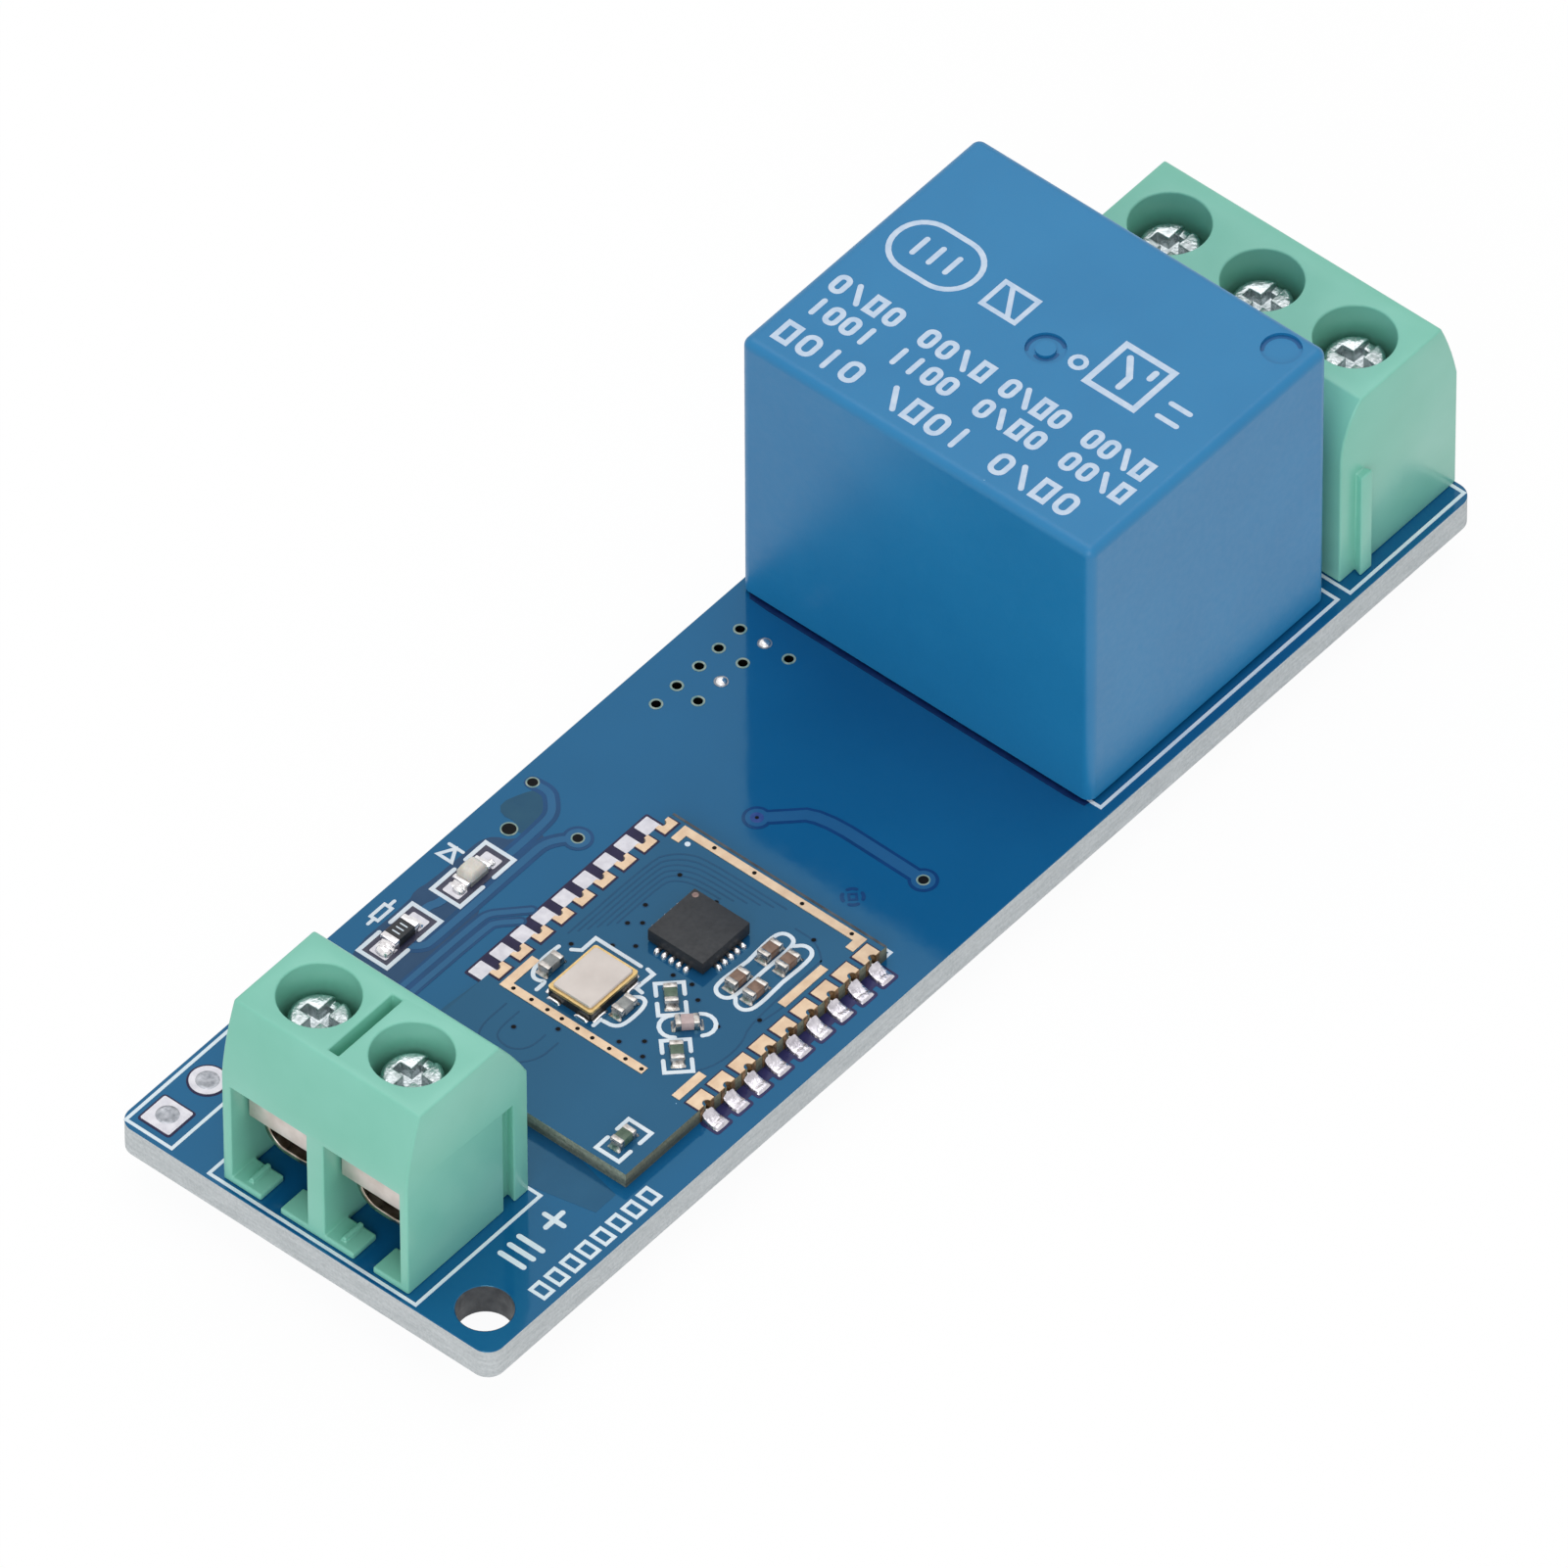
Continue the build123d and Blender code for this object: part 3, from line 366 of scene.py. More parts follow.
def turned(points, x, y, angle):
    cos, sin = math.cos(math.radians(angle)), math.sin(math.radians(angle))
    return [(x + px * cos - py * sin, y + px * sin + py * cos) for px, py in points]


def rounded_rectangle(x0, x1, y0, y1, radius, steps=4):
    corners = [(x1 - radius, y0 + radius, -90), (x1 - radius, y1 - radius, 0),
               (x0 + radius, y1 - radius, 90), (x0 + radius, y0 + radius, 180)]
    return [point for x, y, start in corners for point in circle(x, y, radius, steps, start, 90)]


def inset(low, high, across, along, radius, steps=4):
    """A box's rounded outline, drawn in from its sides."""
    return rounded_rectangle(low.x + across, high.x - across, low.y + along, high.y - along, radius, steps)


def ring(bm, x, y, inner, outer, low, high, steps=28, material=0):
    """A flat washer."""
    profile = [(inner, low), (outer, low), (outer, high), (inner, high)]
    spin(bm, profile + profile[:1], x, y, steps, material)


def spin(bm, profile, x, y, steps=32, material=0):
    """A turned shape: (radius, height) points, closed where the first and last agree."""
    around = [(math.cos(math.tau * step / steps), math.sin(math.tau * step / steps)) for step in range(steps)]
    hoop = profile[0] == profile[-1]
    points = profile[:-1] if hoop else profile
    rings = []
    for radius, height in points:
        if radius < 1e-6:
            rings.append([bm.verts.new((x, y, height))])
        else:
            rings.append([bm.verts.new((x + radius * cos, y + radius * sin, height)) for cos, sin in around])
    pairs = list(zip(rings, rings[1:])) + ([(rings[-1], rings[0])] if hoop else [])
    for lower, upper in pairs:
        for index in range(steps):
            after = (index + 1) % steps
            corners = [lower[index % len(lower)], lower[after % len(lower)],
                       upper[after % len(upper)], upper[index % len(upper)]]
            corners = list(dict.fromkeys(corners))
            if len(corners) > 2:
                bm.faces.new(corners).material_index = material


def softened(points, rounds=2, closed=False):
    """A line with its corners cut back again and again."""
    for _ in range(rounds):
        made = [] if closed else [points[0]]
        count = len(points)
        for index in range(count if closed else count - 1):
            (x0, y0), (x1, y1) = points[index], points[(index + 1) % count]
            made.append((x0 * 0.75 + x1 * 0.25, y0 * 0.75 + y1 * 0.25))
            made.append((x0 * 0.25 + x1 * 0.75, y0 * 0.25 + y1 * 0.75))
        points = made if closed else made + [points[-1]]
    return points


def ribbon(bm, points, width, low, high, closed=False, cap_steps=6):
    """A flat strip along a line, mitred at its corners and round at its ends."""
    spots = [Vector(point) for point in points]
    count = len(spots)
    lefts, rights = [], []
    for index, here in enumerate(spots):
        before = (here - spots[index - 1]) if index or closed else None
        after = (spots[(index + 1) % count] - here) if index < count - 1 or closed else None
        before = (before or after).normalized()
        after = (after or before).normalized()
        across = Vector((-before.y - after.y, before.x + after.x)).normalized()
        reach = width / 2 / max(0.45, across.dot(Vector((-before.y, before.x))))
        lefts.append(here + across * reach)
        rights.append(here - across * reach)

    def cap(centre, toward):
        start = math.degrees(math.atan2(toward.y, toward.x)) + 90
        return circle(centre.x, centre.y, width / 2, cap_steps, start, -180)[1:-1]

    def at(line, height):
        return [bm.verts.new(point) for point in raised(line, height)]

    levels = []
    for height in (low, high):
        left, right = at(lefts, height), at(rights, height)
        for index in range(count if closed else count - 1):
            after = (index + 1) % count
            bm.faces.new((right[index], right[after], left[after], left[index]))
        if closed:
            levels.append([left, right])
        else:
            end = at(cap(spots[-1], spots[-1] - spots[-2]), height)
            start = at(cap(spots[0], spots[0] - spots[1]), height)
            bm.faces.new([left[-1]] + end + [right[-1]])
            bm.faces.new([right[0]] + start + [left[0]])
            levels.append([left + end + right[::-1] + start])
    for lower, upper in zip(*levels):
        wall(bm, lower, upper)


def slab(bm, low, high, bevel, matrix=None, material=0):
    """A box with rounded edges."""
    low, high = Vector(low), Vector(high)
    part = bmesh.new()
    size = Matrix.Diagonal((*(high - low), 1))
    bmesh.ops.create_cube(part, size=1.0, matrix=Matrix.Translation((low + high) / 2) @ size)
    bmesh.ops.bevel(part, geom=part.edges[:], offset=bevel, segments=2, profile=0.5, affect="EDGES")
    join(bm, part, matrix, material)


def mound(bm, centre, half_x, half_y, base, height, matrix=None, roundness=0.3, steps=10):
    """A cushion of solder: height(u, v) gives its top for u and v from -1 to 1."""
    part = bmesh.new()
    top = []
    for row in range(steps + 1):
        v = 2 * row / steps - 1
        line = []
        for column in range(steps + 1):
            u = 2 * column / steps - 1
            x = centre[0] + half_x * u * math.sqrt(1 - roundness * v * v / 2)
            y = centre[1] + half_y * v * math.sqrt(1 - roundness * u * u / 2)
            line.append(part.verts.new((x, y, base + height(u, v))))
        top.append(line)
    for lower, upper in zip(top, top[1:]):
        for index in range(steps):
            part.faces.new((lower[index], lower[index + 1], upper[index + 1], upper[index]))
    rim = top[0] + [line[-1] for line in top[1:]] + top[-1][-2::-1] + [line[0] for line in top[-2:0:-1]]
    foot = [part.verts.new((vert.co.x, vert.co.y, base)) for vert in rim]
    wall(part, foot, rim)
    part.faces.new(foot)
    join(bm, part, matrix)


def dome(rise, edge=0.03, power=3.0):
    """A rounded top for a mound."""
    def height(u, v):
        inside = (1 - abs(u) ** power) * (1 - abs(v) ** power)
        return edge + rise * math.sqrt(max(0.0, inside))
    return height


def refined(node, bevel, angle=30, segments=2):
    """A copy of a CAD node's shape, in board millimetres, with its sharp edges rounded."""
    bm = bmesh.new()
    bm.from_mesh(frame["nodes"][node].data)
    bm.transform(TO_BOARD)
    bmesh.ops.remove_doubles(bm, verts=bm.verts, dist=0.0005)
    bmesh.ops.dissolve_limit(bm, angle_limit=math.radians(1), verts=bm.verts, edges=bm.edges)
    sharp = [edge for edge in bm.edges
             if edge.is_manifold and edge.calc_face_angle(0) > math.radians(angle)]
    bmesh.ops.bevel(bm, geom=sharp, offset=bevel, segments=segments, profile=0.5, affect="EDGES")
    for face in bm.faces:
        face.material_index = 0
    return bm


def cut_with(bm, cutter):
    """Takes the closed shapes of one drawing out of another."""
    objects = []
    for drawing in (bm, cutter):
        bmesh.ops.recalc_face_normals(drawing, faces=drawing.faces)
        objects.append(put("work", mesh_of("work", drawing)))
    modifier = objects[0].modifiers.new("cut", "BOOLEAN")
    modifier.object = objects[1]
    modifier.operation = "DIFFERENCE"
    modifier.solver = "EXACT"
    result = bmesh.new()
    graph = bpy.context.evaluated_depsgraph_get()
    result.from_mesh(objects[0].evaluated_get(graph).to_mesh())
    for made in objects:
        mesh = made.data
        bpy.data.objects.remove(made)
        bpy.data.meshes.remove(mesh)
    return result


# Circuit board: holes, tracks and ink

OPEN_VIAS = [
    (37.95, 18.69), (36.54, 18.67), (37.97, 16.01), (35.22, 18.63), (36.54, 17.34), (33.76, 18.62),
    (33.67, 17.37), (32.4, 18.61), (25.65, 19.67), (24.46, 16.15), (32.0, 3.55),
]
LARGE_VIA = (23.0, 18.7)
FILLED_VIAS = [(38.0, 17.37), (35.15, 17.35)]
TENTED_VIA = (30.2, 11.17)
PLUGGED_VIAS = OPEN_VIAS[-3:] + [LARGE_VIA]
VIA_HOLE = 0.235
LARGE_VIA_HOLE = 0.32
VIA_RIM = 0.07
WALL = 0.02
MOUNTING_HOLES = [(1.95, 1.95), (62.05, 18.55)]
MOUNTING_RADIUS = 1.25

AREA_TOP = 0.008
GAP_TOP = 0.010
TRACK_TOP = 0.016
RING_TOP = 0.020
INK_TOP = 0.024

# Each track: its width, the bare laminate beside it, and its line
TRACKS = [
    (0.34, 0.2, [(21.1, 18.0), (21.7, 17.74), (24.25, 17.8), (24.85, 17.92), (25.35, 18.35), (25.72, 18.8),
                 (25.65, 19.67)]),
    (0.34, 0.2, [(24.46, 16.15), (23.9, 16.72), (23.25, 17.06), (22.4, 17.06), (16.1, 17.02), (15.65, 17.12),
                 (15.25, 17.6)]),
    (0.27, 0.13, [(20.13, 14.99), (19.27, 15.79), (18.84, 16.19), (18.3, 16.32), (8.3, 16.32)]),
    (0.27, 0.13, [(19.35, 14.92), (18.65, 15.62), (18.25, 15.8), (8.3, 15.8)]),
    (0.54, 0.15, [TENTED_VIA, (31.0, 10.35), (32.05, 9.3), (32.02, 5.2), (32.0, 3.55)]),
    (0.42, 0.0, [(17.0, 18.42), (17.55, 18.42), (17.9, 18.22), (18.5, 18.2)]),
]

# Where no copper lies under the mask
BETWEEN_VIAS = [
    (23.9, 19.95), (24.9, 19.6), (25.4, 19.3), (25.55, 18.8), (24.8, 17.95), (23.2, 17.95), (23.1, 18.4),
    (23.5, 18.7), (23.4, 19.5),
]
ROUND_CHIPS = [
    (8.3, 16.4), (18.2, 16.4), (18.9, 16.75), (22.9, 16.95), (23.8, 17.3), (23.3, 18.0), (22.6, 18.2),
    (22.3, 18.9), (21.8, 19.2), (21.2, 19.25), (18.6, 19.3), (17.8, 19.45), (17.2, 19.25), (13.5, 19.3),
    (13.2, 18.5), (8.3, 18.4),
]
BESIDE_RADIO = [(8.3, 14.22), (15.5, 14.22), (16.2, 13.5), (10.9, 13.2), (10.9, 1.9), (8.3, 1.9)]
# Under the board, from the relay's contacts to the output poles
UNDER_TRACKS = [
    (1.8, [(47.45, 2.87), (48.6, 1.9), (57.6, 1.9), (60.2, 3.6)]),
    (1.8, [(41.2, 17.07), (44.6, 13.0), (52.0, 9.6), (60.2, 8.68)]),
    (1.8, [(53.7, 17.07), (56.2, 16.4), (60.2, 13.8)]),
]


def circuit_board():
    bm = refined("main_board", 0.03, 60, 1)
    holes = bmesh.new()
    for x, y in OPEN_VIAS:
        prism(holes, circle(x, y, VIA_HOLE, 20), UNDERSIDE - 1, 1)
    prism(holes, circle(*LARGE_VIA, LARGE_VIA_HOLE, 24), UNDERSIDE - 1, 1)
    bm = cut_with(bm, holes)
    board = new_piece("circuit_board", bm, "mask", hides=["main_board"])
    for face in board.data.polygons:
        face.use_smooth = abs(face.normal.z) < 0.9
    bm = bmesh.new()
    # Painted shade: a near-black lining down the walls of the mounting holes.
    for x, y in MOUNTING_HOLES:
        ring(bm, x, y, MOUNTING_RADIUS - 0.012, MOUNTING_RADIUS - 0.001, UNDERSIDE + 0.02, -0.02, 48)
    new_piece("mounting_hole_painted_shade", bm, "dark_wall")


def vias():
    bm = bmesh.new()
    for x, y in OPEN_VIAS + [LARGE_VIA]:
        hole = LARGE_VIA_HOLE if (x, y) == LARGE_VIA else VIA_HOLE
        ring(bm, x, y, hole - WALL, hole + VIA_RIM, 0.0, RING_TOP)
        ring(bm, x, y, hole - WALL, hole + VIA_RIM, UNDERSIDE - RING_TOP, UNDERSIDE)
        # Painted shade: the hole's wall is near-black, and the caps that close the plugged holes and the
        # tented via's centre take the same near-black.
        ring(bm, x, y, hole - WALL, hole, UNDERSIDE, 0.0, material=1)
        if (x, y) in PLUGGED_VIAS:
            prism(bm, circle(x, y, hole, 20), 0.0, RING_TOP + 0.001, 1)
    prism(bm, circle(*TENTED_VIA, 0.3, 28), 0.0, RING_TOP, 2)
    prism(bm, circle(*TENTED_VIA, 0.09, 16), 0.0, RING_TOP + 0.002, 1)
    new_piece("via_plating", bm, ["via_ring", "barrel", "tented"])
    bm = bmesh.new()
    for x, y in FILLED_VIAS:
        ring(bm, x, y, 0.2, 0.32, 0.0, RING_TOP, material=1)
        spin(bm, [(0.0, 0.0), (0.26, 0.0), (0.25, 0.05), (0.18, 0.12), (0.1, 0.15), (0.0, 0.16)], x, y, 24)
    new_piece("filled_vias", bm, ["bright", "dull"])


def tracks():
    clear = bmesh.new()
    copper = bmesh.new()
    for index, (width, gap, points) in enumerate(TRACKS):
        line = softened(points, 2)
        step = 0.0004 * index
        ribbon(clear, line, width + 2 * gap, 0.0, GAP_TOP + step)
        ribbon(copper, line, width, 0.0, TRACK_TOP + step)
    for x, y, inner in [(24.46, 16.15, 0.54), (*TENTED_VIA, 0.5), (32.0, 3.55, 0.52)]:
        prism(clear, circle(x, y, inner + 0.15, 32), 0.0, GAP_TOP + 0.003)
        prism(copper, circle(x, y, inner, 32), 0.0, TRACK_TOP + 0.003)
    for quarter in range(4):
        line = circle(29.37, 5.2, 0.46, 4, 90 * quarter + 20, 50)
        ribbon(clear, line, 0.17, 0.0, GAP_TOP, cap_steps=3)
    ribbon(clear, turned(rectangle(-0.16, 0.16, -0.16, 0.16), 29.37, 5.2, 45), 0.12, 0.0, GAP_TOP, True)
    new_piece("track_clearances", clear, "gap")
    new_piece("tracks", copper, "pour")
    bare = bmesh.new()
    for index, zone in enumerate([BETWEEN_VIAS, ROUND_CHIPS, BESIDE_RADIO]):
        prism(bare, softened(zone, 1, True)[::-1], 0.0, AREA_TOP - 0.001 * index, index)
    for x0, x1, y0, y1 in ((18.42, 21.69, 17.48, 18.85), (13.82, 17.08, 17.56, 18.94)):
        prism(bare, rectangle(x0, x1, y0, y1), 0.0, TRACK_TOP + 0.005, 3)
    new_piece("bare_zones", bare, ["bare", "shade", "teal", "ground"])


def under_tracks():
    bm = bmesh.new()
    for width, points in UNDER_TRACKS:
        ribbon(bm, softened(points, 2), width, UNDERSIDE - TRACK_TOP, UNDERSIDE)
    new_piece("under_tracks", bm, "pour")


def ink_line(bm, points, closed=False, width=0.16, base=0.0):
    """One printed stroke, a hair thicker than the one before so that crossings stay clean."""
    ribbon(bm, points, width, base, base + INK_TOP + 0.0012 * (len(bm.verts) % 5), closed)


def rectangle(x0, x1, y0, y1):
    return [(x0, y0), (x1, y0), (x1, y1), (x0, y1)]


def brackets(bm, x0, x1, y0, y1, gap_low, gap_high):
    """A part's outline with a gap in the middle of its two long sides."""
    for gap, x in ((gap_low, x0), (gap_high, x1)):
        ink_line(bm, [(gap, y0), (x, y0), (x, y1), (gap, y1)], width=0.2)


def board_ink():
    bm = bmesh.new()
    for x0, x1, y0, y1 in ((0.28, 6.75, 17.69, 20.22), (0.24, 8.18, 4.26, 15.6), (56.15, 63.7, 0.36, 16.9)):
        ink_line(bm, rectangle(x0, x1, y0, y1), True)
    ink_line(bm, [(39.95, 1.2), (39.95, 0.52), (55.51, 0.52), (55.51, 20.2), (41.0, 20.2)])
    brackets(bm, 18.32, 21.79, 17.38, 18.95, 19.78, 20.5)
    brackets(bm, 13.72, 17.18, 17.46, 19.04, 15.06, 15.78)
    ink_line(bm, [(27.99, 2.3), (27.99, 1.94), (27.49, 1.94)], width=0.14)
    # Lamp symbol and resistor symbol beside the two parts
    ink_line(bm, [(20.0, 19.3), (20.0, 20.06), (20.7, 19.68)], True)
    ink_line(bm, [(20.74, 19.3), (20.74, 20.06)])
    ink_line(bm, rectangle(15.5, 16.4, 19.5, 19.9), True)
    ink_line(bm, [(15.1, 19.7), (15.42, 19.7)])
    ink_line(bm, [(16.48, 19.7), (16.8, 19.7)])
    # Plus sign and bars beside the input terminal
    ink_line(bm, [(7.52, 2.42), (7.52, 3.46)], width=0.24)
    ink_line(bm, [(6.98, 2.94), (8.06, 2.94)], width=0.24)
    for x in (4.7, 5.3, 5.9):
        ink_line(bm, [(x, 2.2), (x, 3.46)], width=0.26)
    for index in range(8):
        x = 3.95 + index * 0.98
        ink_line(bm, rectangle(x, x + 0.55, 0.42, 1.18), True, 0.17)
    new_piece("board_ink", bm, "ink")


HEADER_X = (1.58, 4.12)
HEADER_Y = 19.05
PAD = 0.05


def header():
    """Two tinned pads whose holes are filled with dull solder."""
    bm = bmesh.new()
    square = rounded_rectangle(0.73, 2.33, 18.25, 19.85, 0.1)
    prism(bm, rounded_rectangle(0.63, 2.43, 18.15, 19.95, 0.16), 0.0, GAP_TOP, 2)
    prism(bm, circle(HEADER_X[1], HEADER_Y, 0.9, 40), 0.0, GAP_TOP, 2)
    low = UNDERSIDE - PAD
    for foot, top in ((0.0, PAD), (low, UNDERSIDE)):
        prism(bm, square, foot, top)
        prism(bm, circle(HEADER_X[1], HEADER_Y, 0.8, 40), foot, top)
    for x in HEADER_X:
        rim = [(0.0, PAD + 0.004), (0.2, PAD + 0.003), (0.36, PAD + 0.012), (0.45, PAD + 0.02), (0.52, PAD)]
        base = [(0.52, PAD - 0.02), (0.45, PAD - 0.04), (0.45, low), (0.0, low - 0.004)]
        spin(bm, rim + base, x, HEADER_Y, 36, 1)
    new_piece("header_solder", bm, ["silver", "dull", "plum"], hides=["header_pads"])


circuit_board()
vias()
tracks()
under_tracks()
board_ink()
header()


# Radio board

RADIO = (10.82, 1.85)
RADIO_LENGTH = 16.8
RADIO_WIDTH = 11.7
RADIO_TOP = 0.8
NEAR_EDGE = RADIO[1]
FAR_EDGE = RADIO[1] + RADIO_WIDTH
RADIO_END = RADIO[0] + RADIO_LENGTH
FAR_COLUMNS = [26.84 - 1.335 * index for index in range(9)]
NEAR_COLUMNS = [26.7 - 1.335 * index for index in range(9)]
NOTCH = 0.2
PLATING = 0.03
FOIL = 0.045
PAD_TOP = RADIO_TOP + FOIL


def lands():
    """The dark clearance round each row of lands, and the flat lands of the far row."""
    bm = bmesh.new()
    left, right = FAR_COLUMNS[-1] - 0.55, FAR_COLUMNS[0] + 0.55
    prism(bm, rounded_rectangle(left, right, 13.56, 14.86, 0.1), 0.0, GAP_TOP)
    for x in NEAR_COLUMNS:
        prism(bm, rounded_rectangle(x - 0.53, x + 0.53, 0.8, 1.84, 0.16), 0.0, GAP_TOP + 0.001, 1)
    prism(bm, rectangle(NEAR_COLUMNS[-1], NEAR_COLUMNS[0], 1.2, 1.84), 0.0, GAP_TOP, 1)
    new_piece("land_clearances", bm, ["plum", "navy"])
    bm = bmesh.new()
    for x in FAR_COLUMNS:
        prism(bm, rounded_rectangle(x - 0.42, x + 0.42, 13.58, 14.74, 0.06), 0.0, FOIL)
    new_piece("far_lands", bm, "silver")


def notched(x, y, inward, left, right, depth):
    """A pad's outline at the radio board's edge, with the half-hole bitten out of it."""
    arc = circle(x, y, NOTCH, 10, 180 if inward < 0 else 0, 180)
    corners = [(x - left, y), (x - left, y + inward * depth), (x + right, y + inward * depth), (x + right, y)]
    return corners + (arc if inward > 0 else arc[::-1])


def radio_pads():
    """Gold pads with half-holes, in dark clearances, with the plating down the walls darker gold-brown as
    painted shade.
    """
    bm = bmesh.new()
    rows = [(FAR_COLUMNS, FAR_EDGE, -1, 180, [(0.42, 0.42, 0.54), (0.51, 0.51, 0.63)]),
            (NEAR_COLUMNS, NEAR_EDGE, 1, 0, [(0.52, 0.46, 0.7), (0.6, 0.54, 0.78)])]
    for columns, y, inward, start, (pad, clearance) in rows:
        for x in columns:
            prism(bm, notched(x, y, inward, *pad), RADIO_TOP, PAD_TOP)
            prism(bm, notched(x, y, inward, *clearance), RADIO_TOP, RADIO_TOP + 0.006, 1)
            # Plating down the half-hole, in the darker gold of painted shade.
            outer = circle(x, y, NOTCH + PLATING, 12, start, 180)
            prism(bm, outer + circle(x, y, NOTCH, 12, start + 180, -180), 0.0, RADIO_TOP, 2)
    # Plating on the near edge beside each half-hole, also in the darker gold of painted shade.
    for x in NEAR_COLUMNS:
        for x0, x1 in ((x - 0.44, x - NOTCH), (x + NOTCH, x + 0.44)):
            slab(bm, (x0, NEAR_EDGE - PLATING, 0.02), (x1, NEAR_EDGE + 0.01, PAD_TOP), 0.01, material=2)
    new_piece("radio_lands", bm, ["gold", "plum", "shaded_wall_gold"], hides=["radio_pads"])


def radio_joints():
    """Solder that climbs from each near land into its half-hole, and the far row's small fillets."""
    bm = bmesh.new()
    chance = random.Random(5)
    for x in NEAR_COLUMNS:
        swell = 0.85 + 0.3 * chance.random()
        lean = 0.3 * (chance.random() - 0.7)
        crease = 0.25 * (chance.random() - 0.5)

        def near_height(u, v):
            out = (1 - v) / 2
            side = max(0.0, 1 - abs(u) ** 5) ** 0.5
            edge = max(0.0, 1 - out ** 8) ** 0.5
            fold = 0.035 * math.exp(-40 * (out - 0.55 - crease * u) ** 2)
            rise = 0.13 + swell * 0.3 * math.exp(-5.0 * out) * (1 + lean * u)
            return 0.03 + (rise - fold) * side * edge

        mound(bm, (x, 1.37), 0.41, 0.45, 0.0, near_height, roundness=0.22, steps=14)
        mound(bm, (x, NEAR_EDGE + 0.04), 0.15, 0.13, 0.0, dome(0.3 + 0.12 * swell), steps=8)
    for x in FAR_COLUMNS:
        mound(bm, (x, 13.7), 0.18, 0.14, 0.0, dome(0.3), steps=6)
    new_piece("radio_solder", bm, "solder", hides=["radio_solder_joints"])


def dots(bm, spots, radius, low, high):
    for x, y in spots:
        prism(bm, circle(x, y, radius, 12), low, high)


def radio_marks():
    top = RADIO_TOP
    strip_top = top + 0.04
    bm = bmesh.new()
    # Painted shade: the radio board's via holes, in its gold strips and in its face, as near-black dots.
    right = [(27.17, 10.93), (27.17, 8.73), (27.13, 6.08), (27.17, 3.39)]
    left = [(15.72, y) for y in (12.2, 11.21, 10.33, 9.54, 8.68, 7.87, 6.94, 6.05, 5.17)]
    dots(bm, right + left, 0.1, strip_top, strip_top + 0.006)
    spots = [
        (22.87, 11.06), (21.61, 10.97), (22.02, 10.49), (19.19, 12.0), (20.24, 10.63), (20.84, 9.86),
        (20.71, 6.66), (25.09, 11.06), (24.9, 8.9), (20.6, 7.6), (20.2, 5.9), (19.6, 4.3), (16.3, 6.9),
        (16.3, 5.6), (17.0, 6.1), (21.0, 3.2), (25.9, 4.4), (15.2, 9.3), (14.1, 10.8),
    ]
    dots(bm, spots, 0.11, top, top + 0.008)
    new_piece("radio_via_shade_dots", bm, "barrel")
    # A thin dark line along the radio board's far end.
    bm = bmesh.new()
    rim = rectangle(RADIO_END - 0.13, RADIO_END - 0.01, NEAR_EDGE + 0.02, FAR_EDGE - 0.02)
    prism(bm, rim, top, top + 0.008)
    new_piece("radio_far_dark_line", bm, "dark_wall")
    bm = bmesh.new()
    for x, y in spots:
        ring(bm, x, y, 0.11, 0.16, top, top + 0.007, 12)
    # Six lines side by side round a corner: each point and its step to the next line
    bends = [(19.6, 12.5, 0.35, -0.24), (25.05, 12.5, -0.16, -0.24), (25.71, 12.16, -0.2, -0.22),
             (26.2, 11.59, -0.23, -0.235), (26.48, 10.86, -0.27, -0.235), (26.5, 6.4, -0.27, 0.5)]
    lines = [[(x + step * dx, y + step * dy) for x, y, dx, dy in bends] for step in range(6)]
    lines += [
        [(16.4, 4.0), (17.6, 3.0), (19.4, 2.85), (20.6, 3.4), (25.2, 3.4)],
        [(20.9, 3.1), (22.4, 2.9), (24.9, 3.0), (25.9, 4.2), (25.9, 5.4)],
        [(14.9, 11.9), (13.1, 11.9), (12.4, 11.2), (12.4, 9.6), (13.4, 8.8), (14.6, 8.8)],
        [(14.9, 11.2), (13.5, 11.2), (13.1, 10.8), (13.1, 10.0), (13.7, 9.5), (14.6, 9.5)],
    ]
    for line in lines:
        ribbon(bm, softened(line, 2), 0.09, top, top + 0.006)
    new_piece("radio_track_lines", bm, "radio_line")
    bm = bmesh.new()
    dots(bm, [(26.62, 11.94)], 0.13, top, top + 0.03)
    new_piece("radio_white_dot", bm, "ink")


